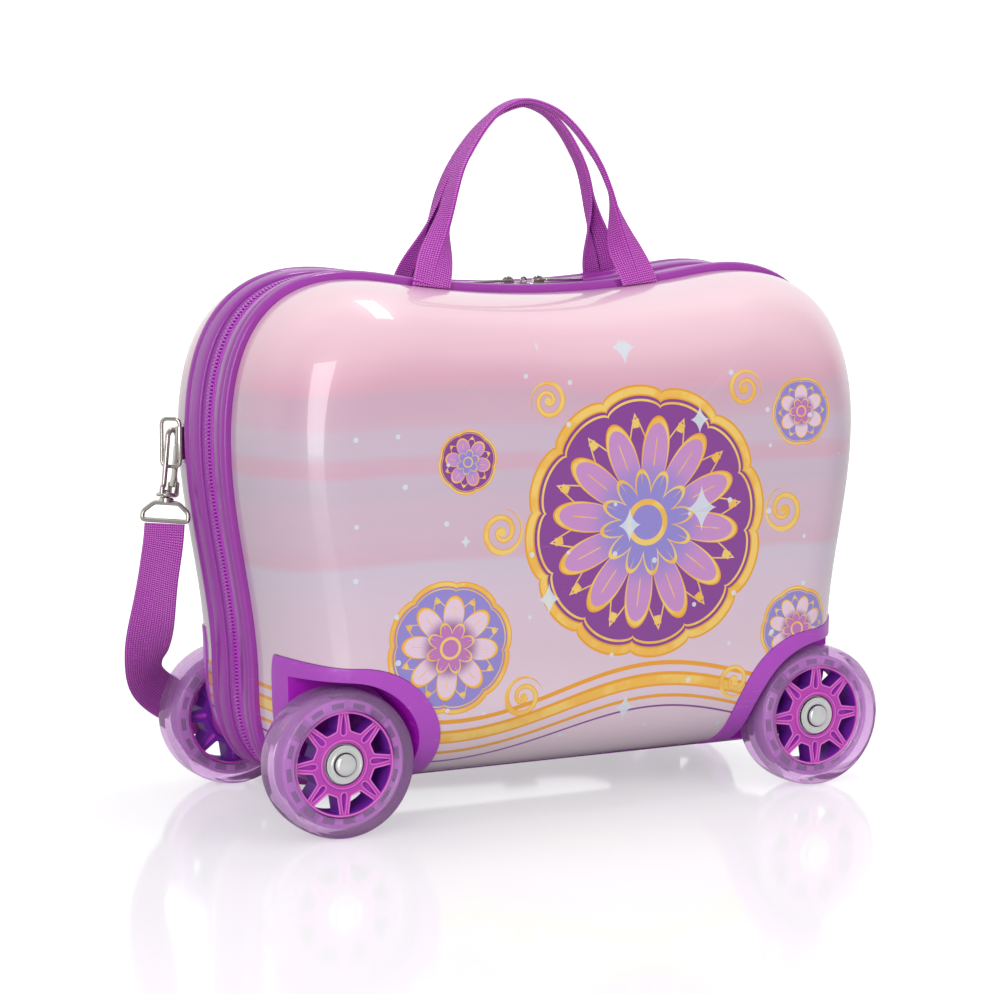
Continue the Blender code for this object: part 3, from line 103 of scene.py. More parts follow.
# Strap hardware: rings, hooks, gates, swivel posts and loops
RING_WIRE, RING_LOW_Z, RING_HEIGHT, RING_REACH = 0.0011, 0.187, 0.026, 0.0105
RING_X, RING_Y, RING_SWING, RING_CATCH = 0.1908, 0.0315, math.radians(47.6), 0.0064
BARREL_WALL, BARREL_LENGTH, PLATE_THICK, PLATE_LENGTH = 0.0011, 0.018, 0.0014, 0.007
HOOK_WIRE, HOOK_TURN, HOOK_SHANK, HOOK_NOSE = 0.0015, math.radians(30), 0.00315, 0.00505
HOOK_SLOPE, HOOK_CATCH_RISE, HOOK_RISE, HOOK_MOUTH = (0.14, 0.11), 0.0186, 0.0345, 0.0305
FLANGE_RADIUS, FLANGE_LOW, FLANGE_HEIGHT = 0.006, 0.0019, 0.0024
POST_RADIUS, POST_HEAD_RADIUS, POST_HEAD_HEIGHT = 0.0017, 0.0026, 0.0012
GATE_PIN_RISE, GATE_WIDTH, GATE_WALL = 0.009, 0.0034, 0.0015
LOOP_TURN, LOOP_TOP_HALF, LOOP_HALF = math.radians(-50), 0.0075, 0.0142
LOOP_SHOULDER, LOOP_DROP, LOOP_WIRE = 0.0065, 0.011, 0.0013
# The strap's way in millimetres: under the left loop and round the wheel, as mirrored on the right, then behind
STRAP_END = ((-203, 33.5, 130), (-204, 41, 105), (-202, 57, 83), (-195.5, 77, 65), (-184, 92, 53), (-165, 100, 41),
             (-138, 105, 29))
STRAP_MIDDLE = ((-100, 111, 17), (-50, 119, 13.4), (0, 114, 14), (42, 117, 16.4), (62, 117, 16.6), (82, 117, 16.6),
                (110, 111, 18.5))
STRAP_TURN, ADJUSTER_X = (0.08, 0.5), 0.062

# The room's light on the case, where its white to the camera is 1, and the share of it that gloss shows in front
ROOM_LIGHT, DIM_SIDE = 0.52, 0.34
FLOOR_REACH, FLOOR_GLOW, FLOOR_GLOW_FAR = 40.0, 0.47, 0.20
# Lamps: name, place, aim, size, power in watts, and whether gloss shows them
LAMPS = (("side_strip", (-1.46, -1.63, 0.74), (0, 0, 0.20), (0.98, 1.62), 20.0, True),
         ("top_panel", (0.32, 0.0, 1.85), (0, 0, 0.15), (0.95, 0.24), 6.4, True),
         ("front_panel", (1.20, -2.0, 1.10), (0, 0, 0.15), (1.3, 1.1), 11.0, False))

# The photograph's camera: place, turn from +Y towards +X, tilt down, and lens in millimetres on a 36 mm sensor
VIEW_SPOT, VIEW_YAW, VIEW_PITCH, VIEW_LENS = (-0.76618, -1.47852, 0.36675), 0.47077, 0.12159, 107.8

# A radius so small that it counts as on the axis
ON_AXIS = 0.00002


# ---------------------------------------------------------------- colours and shader helpers

def ink(red, green, blue):
    """A screen colour of 0 to 255 as the linear colour that a shader takes: ((c + 0.055) / 1.055) ^ 2.4."""
    c = np.array((red, green, blue)) / 255
    linear = np.where(c <= 0.04045, c / 12.92, ((c + 0.055) / 1.055) ** 2.4)
    return (*(float(v) for v in linear), 1.0)


class Wiring:
    """Places shader nodes in one tree and links them."""

    def __init__(self, tree):
        self.tree = tree

    def feed(self, socket, value):
        """Links a socket to what comes out of another node, or sets it to a plain value."""
        if isinstance(value, bpy.types.NodeSocket):
            self.tree.links.new(value, socket)
        else:
            socket.default_value = value

    def give(self, sockets, **values):
        """Feeds sockets by name, an underscore standing for a space."""
        for name, value in values.items():
            self.feed(sockets[name.replace("_", " ")], value)

    def put(self, kind, values=(), **settings):
        """A new node with its settings, and with values for its sockets by name or number."""
        node = self.tree.nodes.new(kind)
        for key, value in settings.items():
            setattr(node, key, value)
        for socket, value in dict(values).items():
            self.feed(node.inputs[socket], value)
        return node

    def maths(self, operation, *values):
        """What one maths node makes of its values."""
        return self.put("ShaderNodeMath", enumerate(values), operation=operation).outputs[0]

    plus = partialmethod(maths, "ADD")
    minus = partialmethod(maths, "SUBTRACT")
    times = partialmethod(maths, "MULTIPLY")
    over = partialmethod(maths, "DIVIDE")
    size = partialmethod(maths, "ABSOLUTE")

    def most(self, first, *others):
        """The greatest of several values."""
        for other in others:
            first = self.maths("MAXIMUM", first, other)
        return first

    def blend(self, share, under, upper):
        """Two colours mixed: the one under where the share is 0, the upper one where it is 1."""
        return self.put("ShaderNodeMix", {0: share, 6: under, 7: upper}, data_type="RGBA").outputs[2]

    def step(self, value, low, high):
        """0 below low, 1 above high and smooth between."""
        return self.put("ShaderNodeMapRange", {0: value, 1: low, 2: high, 3: 0.0, 4: 1.0},
                        interpolation_type="SMOOTHSTEP").outputs[0]

    def noise(self, vector, scale, detail=2.0, roughness=0.5):
        """A cloudy noise of 0 to 1 over a vector."""
        return self.put("ShaderNodeTexNoise", {"Vector": vector, "Scale": scale, "Detail": detail,
                                               "Roughness": roughness}).outputs["Fac"]

    def split(self, vector):
        """The X, Y and Z of a vector."""
        return self.put("ShaderNodeSeparateXYZ", {0: vector}).outputs

    def mapped(self, vector, **values):
        """A vector with a Location, Rotation or Scale applied."""
        return self.put("ShaderNodeMapping", {"Vector": vector, **values}).outputs[0]


def group(name, outputs, **inputs):
    """A shader node group: a Vector and number inputs with their values, and number outputs, all named sockets."""
    tree = bpy.data.node_groups.new(name, "ShaderNodeTree")
    tree.interface.new_socket(name="Vector", in_out="INPUT", socket_type="NodeSocketVector")
    for label, value in inputs.items():
        tree.interface.new_socket(name=label, in_out="INPUT", socket_type="NodeSocketFloat").default_value = value
    for label in outputs.split():
        tree.interface.new_socket(name=label, in_out="OUTPUT", socket_type="NodeSocketFloat")
    return tree, Wiring(tree), tree.nodes.new("NodeGroupInput").outputs, tree.nodes.new("NodeGroupOutput").inputs


def make_moulding_grain():
    """Fine orange peel of moulded plastic: two noises added, one for swell and one for tooth."""
    tree, w, given, out = group("moulding_grain", "Height Cloud", Swell=60.0, Tooth=900.0)
    swell = w.noise(given["Vector"], given["Swell"], 3.0)
    tooth = w.noise(given["Vector"], given["Tooth"], 1.0)
    w.give(out, Height=w.plus(swell, w.times(tooth, 0.35)), Cloud=swell)
    return tree


def make_handling_marks():
    """Rubbed patches and hairline marks: a stretched noise cut to thin lines, times a broad noise."""
    tree, w, given, out = group("handling_marks", "Mask", Amount=0.5)
    stretched = w.mapped(given["Vector"], Rotation=(0.3, 0.5, 0.9), Scale=(1.0, 1.0, 14.0))
    lines = w.step(w.noise(stretched, 55.0, 3.0, 0.6), 0.64, 0.72)
    patches = w.step(w.noise(given["Vector"], 14.0, 3.0), 0.45, 0.7)
    w.give(out, Mask=w.times(w.times(lines, patches), given["Amount"]))
    return tree


def make_webbing_weave():
    """Chevron weave of webbing from its UV in metres: short ribs that lean one way and then the other."""
    tree, w, given, out = group("webbing_weave", "Height Shade", Column=0.0013, Rib=0.0012, Lean=0.55)
    spot = w.split(given["Vector"])
    side = w.maths("PINGPONG", w.over(spot[1], given["Column"]), 1.0)
    along = w.plus(w.over(spot[0], given["Rib"]), w.times(side, given["Lean"]))
    rib = w.maths("PINGPONG", w.times(along, 2.0), 1.0)
    edge = w.minus(1.0, w.size(w.minus(w.times(side, 2.0), 1.0)))
    body = w.times(w.step(rib, 0.08, 0.75), w.step(edge, 0.0, 0.5))
    fibre = w.noise(w.mapped(given["Vector"], Scale=(300.0, 2400.0, 1.0)), 1.0, 1.0)
    # Shade is 1 on a rib and 0 between ribs; the finishes paint shade between the ribs from it.
    w.give(out, Height=w.plus(body, w.times(fibre, 0.12)), Shade=body)
    return tree


def line_at(w, value, centre, half):
    """1 within half of a centre value, with a soft edge."""
    return w.minus(1.0, w.step(w.size(w.minus(value, centre)), half * 0.78, half))


def about_middle(w, given, hand=None):
    """Distance from a pattern's middle as a share of its Radius, and the angle there plus Turn.

    A hand of -1 mirrors the pattern.
    """
    spot = w.split(given["Vector"])
    across, up = w.minus(spot[0], given["Across"]), w.minus(spot[2], given["Up"])
    if hand is not None:
        across = w.times(across, hand)
    distance = w.maths("SQRT", w.plus(w.times(across, across), w.times(up, up)))
    return w.over(distance, given["Radius"]), w.plus(w.maths("ARCTAN2", up, across), given["Turn"])


def make_petal_rosette():
    """A rosette on the case's face from polar coordinates about its own middle.

    Distance r and angle t about (Across, Up), with n petals, give the masks:
    petals where r < 0.27 + 0.48 |cos(n t / 2)|^0.6, a heart where r < 0.22 + 0.16 |sin(n t / 2)|^0.8, and a
    scalloped ground where r < 0.94 + 0.06 |sin(n t / 2)|^0.5. Line and Edge are gilt and dark lines along them.
    """
    tree, w, given, out = group("petal_rosette", "Ground Line Edge Petal Deep Heart", Across=0.0, Up=0.15,
                                Radius=0.05, Petals=8.0, Turn=0.0)
    r, angle = about_middle(w, given)
    half_turns = w.times(angle, w.times(given["Petals"], 0.5))
    swing, counter = (w.size(w.maths(wave, half_turns)) for wave in ("COSINE", "SINE"))

    def lobe(wave, power, swell, base):
        """How far inside base + swell * wave ^ power a place is."""
        return w.minus(w.plus(w.times(w.maths("POWER", wave, power), swell), base), r)
    inside = lobe(swing, 0.6, 0.48, 0.27)
    heart = lobe(counter, 0.8, 0.16, 0.22)
    edge = lobe(counter, 0.5, 0.06, 0.94)
    vein = w.times(line_at(w, w.times(counter, r), 0.0, 0.026),
                   w.times(w.step(inside, 0.11, 0.15), w.step(r, 0.40, 0.44)))
    curl = w.times(line_at(w, w.plus(w.times(swing, 0.30), r), 0.80, 0.016), w.step(counter, 0.80, 0.86))
    bead = w.times(line_at(w, r, 0.735, 0.036), w.step(counter, 0.965, 0.985))
    lines = [line_at(w, value, centre, half) for value, centre, half in (
        (edge, 0.028, 0.030), (edge, 0.098, 0.010), (inside, 0.0, 0.021), (heart, 0.0, 0.018), (r, 0.15, 0.024))]
    darks = [line_at(w, value, centre, half) for value, centre, half in (
        (edge, -0.004, 0.012), (inside, -0.022, 0.014), (edge, 0.060, 0.008))]
    w.give(out, Ground=w.step(edge, 0.0, 0.010), Line=w.most(vein, curl, bead, *lines), Edge=w.most(*darks),
           Petal=w.step(inside, 0.0, 0.010), Deep=w.times(w.step(inside, 0.0, 0.010), w.step(r, 0.52, 0.30)),
           Heart=w.step(heart, 0.0, 0.010))
    return tree


def make_gilt_scroll():
    """A painted curl: the spiral where 1.9 r - t / tau is half past a whole number, thicker towards its outer end.

    r is the share of Radius and t the angle. Hand is 1 or -1, the way that it winds. Line is the gold, Edge a thin
    dark border under it.
    """
    tree, w, given, out = group("gilt_scroll", "Line Edge", Across=0.0, Up=0.1, Radius=0.012, Turn=0.0, Hand=1.0)
    r, angle = about_middle(w, given, given["Hand"])
    arm = w.size(w.minus(w.maths("FRACT", w.minus(w.times(r, 1.9), w.over(angle, math.tau))), 0.5))
    half = w.plus(w.times(r, 0.13), 0.10)
    within = w.times(w.step(r, 1.0, 0.985), w.step(r, 0.08, 0.10))
    line, edge = (w.times(w.step(w.minus(reach, arm), 0.0, 0.03), within) for reach in (half, w.plus(half, 0.07)))
    w.give(out, Line=w.most(line, w.step(r, 0.20, 0.18)), Edge=edge)
    return tree


def make_sparkle_field():
    """Scattered four-point sparkles and dots: in each cell of a grid, |x|^p + |z|^p below a size, p the sharpness."""
    tree, w, given, out = group("sparkle_field", "Mask", Cell=0.03, Size=0.5, Share=0.5, Sharpness=0.55, Slim=1.35)
    spot = w.split(given["Vector"])
    x, z = (w.over(spot[k], given["Cell"]) for k in (0, 2))
    cell = w.put("ShaderNodeCombineXYZ", {0: w.maths("FLOOR", x), 1: w.maths("FLOOR", z)}).outputs[0]
    chance = w.put("ShaderNodeTexWhiteNoise", {"Vector": cell}, noise_dimensions="3D").outputs
    drift = w.split(chance["Color"])

    def from_middle(value, shift):
        """How far a place is from the middle of its cell's sparkle, which has drifted by up to a quarter."""
        return w.size(w.minus(w.minus(w.maths("FRACT", value), 0.5), w.times(w.minus(shift, 0.5), 0.5)))
    reaches = w.times(from_middle(x, drift[0]), given["Slim"]), from_middle(z, drift[1])
    star = w.plus(*(w.maths("POWER", reach, given["Sharpness"]) for reach in reaches))
    size = w.times(w.plus(w.times(drift[2], 0.6), 0.4), given["Size"])
    w.give(out, Mask=w.times(w.maths("LESS_THAN", star, size), w.maths("LESS_THAN", chance["Value"], given["Share"])))
    return tree


GRAIN = make_moulding_grain()
MARKS = make_handling_marks()
WEAVE = make_webbing_weave()
ROSETTE = make_petal_rosette()
SCROLL = make_gilt_scroll()
SPARKLE = make_sparkle_field()
WHITE = (1, 1, 1, 1)


def new_finish(name, **sockets):
    """A material with one Principled BSDF whose plain values sit on its own sockets."""
    made = bpy.data.materials.new(name)
    made.use_nodes = True
    surface = made.node_tree.nodes["Principled BSDF"].inputs
    w = Wiring(made.node_tree)
    w.give(surface, **sockets)
    return made, w, surface, w.put("ShaderNodeTexCoord").outputs


def use(w, tree, vector, **values):
    """A node group over a vector, with values for its sockets; returns what comes out of it."""
    node = w.tree.nodes.new("ShaderNodeGroup")
    node.node_tree = tree
    w.give(node.inputs, Vector=vector, **values)
    return node.outputs


def bump(w, surface, height, strength, distance):
    """Tilts the surface's light by a height."""
    w.give(surface, Normal=w.put("ShaderNodeBump", {"Height": height, "Strength": strength,
                                                    "Distance": distance}).outputs[0])


def moulded(name, colour, deep, roughness, swell=40.0, coat=0.0):
    """Moulded plastic: soft colour clouds, orange peel, and rubbed hairlines that dull the gloss."""
    made, w, surface, place = new_finish(name, IOR=1.5, Coat_Weight=coat, Coat_Roughness=0.06)
    grain = use(w, GRAIN, place["Object"], Swell=swell, Tooth=900.0)
    worn = use(w, MARKS, place["Object"], Amount=0.5)["Mask"]
    tint = w.blend(w.times(grain["Cloud"], 0.55), ink(*colour), ink(*deep))
    rough = w.plus(w.times(grain["Cloud"], 0.10), roughness - 0.05)
    w.give(surface, Base_Color=w.blend(w.times(worn, 0.25), tint, WHITE),
           Roughness=w.plus(rough, w.times(worn, 0.25)))
    bump(w, surface, grain["Height"], 0.06, 0.0006)
    return made


def woven(name, colour, deep, bright):
    """Polyester webbing: chevron ribs with painted shade between them, a slow drift in tone and a soft sheen."""
    made, w, surface, place = new_finish(name, Sheen_Weight=0.35, Sheen_Roughness=0.45, Sheen_Tint=ink(*bright),
                                         Roughness=0.62)
    weave = use(w, WEAVE, place["UV"], Column=0.00135, Rib=0.00125, Lean=0.5)
    tint = w.blend(w.times(w.noise(place["Object"], 22.0, 3.0), 0.7), ink(*colour), ink(*bright))
    # The colour deep, between the ribs, is painted shade in the grooves.
    w.give(surface, Base_Color=w.blend(weave["Shade"], ink(*deep), tint),
           Roughness=w.plus(w.times(weave["Shade"], -0.15), 0.72))
    bump(w, surface, weave["Height"], 0.8, 0.0005)
    return made


def plated(name, colour, roughness, metal=1.0):
    """Plated metal: fine scratches and a faint cloud in the polish."""
    made, w, surface, place = new_finish(name, Metallic=metal)
    worn = use(w, MARKS, w.mapped(place["Object"], Scale=(6, 6, 6)), Amount=0.6)["Mask"]
    cloud = w.noise(place["Object"], 180.0, 2.0)
    w.give(surface, Base_Color=w.blend(w.times(cloud, 0.25), colour, (0.35, 0.33, 0.32, 1)),
           Roughness=w.plus(w.times(cloud, 0.08), w.plus(w.times(worn, 0.3), roughness)))
    bump(w, surface, worn, 0.15, 0.0001)
    return made


GOLD, AMBER, PLUM, HAZE = ink(250, 210, 110), ink(240, 164, 36), ink(138, 62, 152), ink(150, 138, 214)
# The film's colour by height: millimetres above the floor, then red, green and blue
FILM_TOP = 300
FILM_BANDS = ((0.0, 236, 218, 229), (30, 236, 216, 227), (66, 231, 208, 222), (92, 227, 202, 217), (120, 222, 200, 217),
              (138, 215, 200, 218), (142, 219, 184, 202), (154, 217, 188, 206), (172, 215, 189, 207),
              (178, 209, 189, 207), (187, 210, 190, 208), (190, 219, 177, 197), (197, 217, 180, 199),
              (200, 212, 191, 209), (212, 213, 190, 208), (216, 217, 181, 200), (230, 215, 177, 197),
              (236, 229, 176, 196), (250, 240, 194, 210), (266, 246, 205, 218), (279, 248, 212, 223),
              (FILM_TOP, 248, 214, 225))
# Ribbons: base height, half width and shade, a mixed gold where there is none
RIBBONS = ((0.060, 0.0042, AMBER), (0.0597, 0.0026, None), (0.0690, 0.0013, AMBER), (0.0505, 0.0010, AMBER),
           (0.0445, 0.0006, PLUM))
# Rosettes: Across, Up, Radius, Petals and Turn, and the kind; each kind has its ground, petal, deep and heart colour
ROSETTES = ((0.030, 0.158, 0.074, 12.0, 0.13, "plum"), (-0.088, 0.098, 0.036, 8.0, 0.1, "haze"),
            (0.128, 0.092, 0.024, 8.0, 0.3, "haze"), (-0.078, 0.196, 0.017, 6.0, 0.2, "plum"),
            (0.129, 0.214, 0.019, 6.0, 0.5, "haze"))
FLOWERS = {"plum": (PLUM, ink(206, 146, 206), HAZE, HAZE),
           "haze": (HAZE, ink(238, 208, 228), PLUM, ink(196, 120, 190))}
# Scrolls: Across, Up, Radius, Turn and Hand
SCROLLS = ((-0.058, 0.158, 0.0125, 2.6, 1.0), (0.118, 0.160, 0.0125, 2.6, -1.0), (-0.030, 0.226, 0.0105, 0.4, 1.0),
           (0.092, 0.228, 0.0105, 0.4, -1.0), (-0.044, 0.068, 0.0115, 1.2, -1.0), (0.088, 0.066, 0.0105, 3.6, 1.0))
# Sparkles and dots: how far each field is raised, and its sockets
SPARKLES = ((0.115, {"Cell": 0.050, "Size": 0.46, "Share": 0.36, "Sharpness": 0.62}),
            (0.047, {"Cell": 0.025, "Size": 0.0042, "Share": 0.40, "Sharpness": 2.0, "Slim": 1.0}))


def printed_film():
    """The printed shell: wavy watercolour bands, ribbons, rosettes, scrolls and sparkles under a clear gloss coat.

    A band's height is z + 3.5 mm sin(17 x + 0.5) + 1.8 mm sin(41 x + 1) + a slow noise, which a ramp turns into
    colour. The ribbons lie at z - 11 mm sin(26 x + 0.6).
    """
    made, w, surface, place = new_finish("printed_film", Coat_Weight=1.0, Coat_Roughness=0.012, Coat_IOR=1.5, IOR=1.45)
    where = place["Object"]
    spot = w.split(where)

    def wave(rate, shift, size):
        """size * sin(rate * x + shift)."""
        return w.times(w.maths("SINE", w.maths("MULTIPLY_ADD", spot[0], rate, shift)), size)
    blur = w.times(w.minus(w.noise(where, 9.0, 2.0), 0.5), 0.014)
    height = w.plus(w.plus(spot[2], blur), w.plus(wave(17.0, 0.5, 0.0035), wave(41.0, 1.0, 0.0018)))
    ramp = w.put("ShaderNodeValToRGB", {0: w.over(height, FILM_TOP * MM)})
    stops = ramp.color_ramp.elements
    bands = [(level / FILM_TOP, ink(*shade)) for level, *shade in FILM_BANDS]
    for stop, band in ((stops[0], bands[0]), (stops[1], bands[-1])):
        stop.position, stop.color = band
    for position, shade in bands[1:-1]:
        stops.new(position).color = shade
    colour = ramp.outputs[0]
    gilt = w.blend(w.step(w.noise(where, 70.0, 2.0), 0.40, 0.62), GOLD, ink(247, 190, 78))
    crest = wave(26.0, 0.6, 0.011)
    for base, half, shade in RIBBONS:
        off = w.size(w.minus(w.minus(spot[2], crest), base))
        colour = w.blend(w.minus(1.0, w.step(off, half * 0.88, half)), colour, shade or gilt)
    for form in SCROLLS:
        curl = use(w, SCROLL, where, **dict(zip(("Across", "Up", "Radius", "Turn", "Hand"), form)))
        colour = w.blend(curl["Line"], w.blend(curl["Edge"], colour, AMBER), gilt)
    for *form, kind in ROSETTES:
        flower = use(w, ROSETTE, where, **dict(zip(("Across", "Up", "Radius", "Petals", "Turn"), form)))
        ground, petal, deep, heart = FLOWERS[kind]
        for mask, shade in ((flower["Ground"], ground), (flower["Petal"], petal),
                            (w.times(flower["Deep"], 0.8), deep), (flower["Heart"], heart),
                            (flower["Edge"], AMBER), (flower["Line"], gilt)):
            colour = w.blend(mask, colour, shade)
    stars = w.most(*(use(w, SPARKLE, w.mapped(where, Location=(0.3, 0, rise)), **form)["Mask"]
                     for rise, form in SPARKLES))
    on_face = w.times(w.step(w.size(spot[0]), 0.158, 0.154), w.step(spot[2], 0.258, 0.254))
    colour = w.blend(w.times(w.times(stars, on_face), 0.85), colour, ink(222, 232, 242))
    worn = use(w, MARKS, where, Amount=0.5)["Mask"]
    w.give(surface, Base_Color=w.blend(w.times(worn, 0.15), colour, WHITE), Roughness=w.plus(w.times(worn, 0.3), 0.30))
    bump(w, surface, use(w, GRAIN, where, Swell=25.0, Tooth=700.0)["Height"], 0.010, 0.0006)
    return made


def lining_weave():
    """Thin plain-weave cloth: crossed threads, sin(5200 (x + y)) sin(5200 (z - y)), and a slow drift in tone."""
    made, w, surface, place = new_finish("lining_weave", Sheen_Weight=0.3, Roughness=0.85)
    spot = w.split(place["Object"])
    threads = w.times(*(w.maths("SINE", w.times(run, 5200.0))
                        for run in (w.plus(spot[0], spot[1]), w.minus(spot[2], spot[1]))))
    cloud = w.noise(place["Object"], 18.0, 3.0)
    w.give(surface, Base_Color=w.blend(cloud, ink(196, 176, 208), ink(214, 198, 222)),
           Roughness=w.plus(w.times(threads, 0.05), 0.85))
    bump(w, surface, w.plus(threads, w.times(cloud, 6.0)), 0.35, 0.0004)
    return made


def zip_cloth():
    """Zip tape: fine herringbone from the tape's UV, with painted shade between its ribs."""
    made, w, surface, place = new_finish("zip_cloth", Sheen_Weight=0.25, Roughness=0.7)
    weave = use(w, WEAVE, place["UV"], Column=0.0011, Rib=0.0008, Lean=0.8)
    tint = w.blend(w.noise(place["Object"], 30.0, 2.0), ink(186, 56, 196), ink(196, 74, 206))
    # The darker colour between the ribs is painted shade.
    w.give(surface, Base_Color=w.blend(weave["Shade"], ink(140, 22, 154), tint),
           Roughness=w.plus(w.times(weave["Shade"], -0.1), 0.75))
    bump(w, surface, weave["Height"], 0.5, 0.0003)
    return made


def clear_tyre():
    """Translucent cast tyre: tinted clear body with faint clouds, and rubbed marks that haze its gloss."""
    made, w, surface, place = new_finish("clear_tyre", Transmission_Weight=0.80, IOR=1.10, Coat_Weight=0.5,
                                         Coat_Roughness=0.08)
    worn = use(w, MARKS, place["Object"], Amount=0.5)["Mask"]
    cloud = w.noise(place["Object"], 45.0, 3.0)
    w.give(surface, Base_Color=w.blend(cloud, ink(232, 194, 238), ink(220, 178, 228)),
           Roughness=w.plus(w.times(worn, 0.3), 0.03))
    bump(w, surface, use(w, GRAIN, place["Object"], Swell=70.0, Tooth=900.0)["Height"], 0.03, 0.0005)
    return made


FILM = printed_film()
RIM = moulded("rim_gloss", (166, 60, 174), (146, 46, 158), 0.30, coat=0.3)
HOUSING = moulded("housing_satin", (186, 80, 202), (168, 64, 188), 0.36, coat=0.15)
# Inside the wheel wells the housing's own plastic is painted a deeper purple: painted shade.
WELL_SHADE = moulded("well_painted_shade", (182, 14, 196), (156, 4, 176), 0.45)
HUB = moulded("hub_gloss", (198, 72, 190), (182, 58, 176), 0.34, coat=0.2)
# Lighter purple on the beads along the hub's openings, drops and rings: painted highlight.
HUB_EDGE_HIGHLIGHT = moulded("hub_edge_highlight", (240, 128, 220), (230, 112, 212), 0.30, coat=0.2)
# The hub's hollow and the walls of its openings, deeper than the hub's own purple: painted shade.
HUB_SHADE = moulded("hub_painted_shade", (134, 44, 182), (106, 24, 154), 0.45)
HUB_DROP = moulded("hub_drop", (214, 92, 226), (190, 66, 208), 0.45)
CORE = moulded("core_frost", (236, 172, 238), (224, 158, 228), 0.35)
CORE_CLEAR = moulded("core_clear", (184, 124, 192), (166, 108, 176), 0.35)
WINDOW = moulded("window_smoke", (80, 10, 108), (64, 2, 90), 0.3)
# The webbing's second colour is painted shade between its ribs.
WEBBING = woven("webbing_weave", (230, 84, 224), (150, 18, 156), (248, 164, 246))
TAPE = zip_cloth()
TEETH = moulded("zip_teeth", (200, 64, 210), (178, 42, 190), 0.30, coat=0.3, swell=200.0)
NICKEL = plated("nickel_plate", (0.60, 0.56, 0.51, 1), 0.12)
ZINC = plated("bright_zinc", (0.93, 0.96, 0.94, 1), 0.16, 0.5)
# A near black ring at the seat of each bolt head: painted shade in the seam.
SEAM_SHADE = moulded("seam_painted_shade", (52, 48, 54), (36, 32, 38), 0.4)
STEEL = plated("turned_steel", (0.55, 0.55, 0.56, 1), 0.24)
LINING = lining_weave()
TYRE = clear_tyre()


# ---------------------------------------------------------------- mesh helpers

def linked(name, mesh):
    """A new object in the scene."""
    made = bpy.data.objects.new(name, mesh)
    bpy.context.scene.collection.objects.link(made)
    return made


def drop(*pieces):
    """Removes pieces that served as tools or patterns."""
    for piece in pieces:
        bpy.data.objects.remove(piece, do_unlink=True)


def unit(vectors):
    """The rows of an array, each at length 1."""
    return vectors / np.linalg.norm(vectors, axis=1)[:, None]


def run_along(line):
    """How far along a line each of its points lies."""
    return np.concatenate([[0], np.cumsum(np.linalg.norm(np.diff(line, axis=0), axis=1))])


def read_at(at, run, values):
    """The columns of an array read between its rows, at places along a run."""
    return np.stack([np.interp(at, run, column) for column in values.T], 1)


def eased(share):
    """3 s^2 - 2 s^3, which leaves 0 and reaches 1 level."""
    return share * share * (3 - 2 * share)


def circle(count, turn=math.tau):
    """Cosines and sines of angles spread over a turn, its end left out."""
    t = np.linspace(0, turn, count, endpoint=False)
    return np.cos(t), np.sin(t)


def reshaped(mesh, change):
    """Gives a mesh's points to a function as an array of rows and writes back what it returns."""
    flat = np.empty(len(mesh.vertices) * 3)
    mesh.vertices.foreach_get("co", flat)
    mesh.vertices.foreach_set("co", change(flat.reshape(-1, 3)).ravel())
    mesh.update()


def mesh_of(name, points, faces, material, uv=None):
    """A piece from arrays of points and faces, smooth shaded, its UV given for each point."""
    mesh = bpy.data.meshes.new(name)
    mesh.from_pydata(np.asarray(points, float).reshape(-1, 3), [], [tuple(int(i) for i in f) for f in faces])
    if uv is not None:
        layer = mesh.uv_layers.new(name="UVMap")
        corner = np.empty(len(mesh.loops), dtype=np.int32)
        mesh.loops.foreach_get("vertex_index", corner)
        layer.data.foreach_set("uv", np.asarray(uv, np.float32).reshape(-1, 2)[corner].ravel())
    mesh.shade_smooth()
    mesh.materials.append(material)
    return linked(name, mesh)


def grid_faces(rows, columns, wrap_rows=False):
    """Quads of a grid of points numbered row after row, its columns in a ring, as an array."""
    i = np.arange(rows if wrap_rows else rows - 1)[:, None]
    k = np.arange(columns)[None, :]
    j, m = (i + 1) % rows, (k + 1) % columns
    return np.stack([i * columns + k, i * columns + m, j * columns + m, j * columns + k], -1).reshape(-1, 4)


def face_out(made):
    """Makes a closed piece's faces point outwards."""
    work = bmesh.new()
    work.from_mesh(made.data)
    bmesh.ops.remove_doubles(work, verts=work.verts, dist=0.000002)
    bmesh.ops.recalc_face_normals(work, faces=work.faces)
    work.to_mesh(made.data)
    work.free()
    return made


def crease(made, angle=35):
    """Smooth shading, with edges sharper than an angle in degrees kept sharp."""
    made.data.shade_smooth()
    made.data.set_sharp_from_angle(angle=math.radians(angle))
    return made


def tube(name, rings, material, wrap=False, uv=None):
    """A closed skin over an array of rings (rows, columns, 3)."""
    rings = np.asarray(rings, float)
    rows, columns = rings.shape[:2]
    faces = [tuple(f) for f in grid_faces(rows, columns, wrap)]
    if not wrap:
        faces += [tuple(range(columns)), tuple(range((rows - 1) * columns, rows * columns))]
    return face_out(mesh_of(name, rings, faces, material, uv))


def revolve(name, profile, material, steps=96):
    """A profile of (radius, height) turned about Y: x = r cos t, y = height, z = r sin t."""
    profile = np.asarray(profile, float)
    t = np.linspace(0, math.tau, steps, endpoint=False)[:, None]
    r, h = profile[None, :, 0], profile[None, :, 1]
    points = np.stack([r * np.cos(t), h + 0 * t, r * np.sin(t)], -1)
    return face_out(mesh_of(name, points, grid_faces(steps, len(profile), True), material))


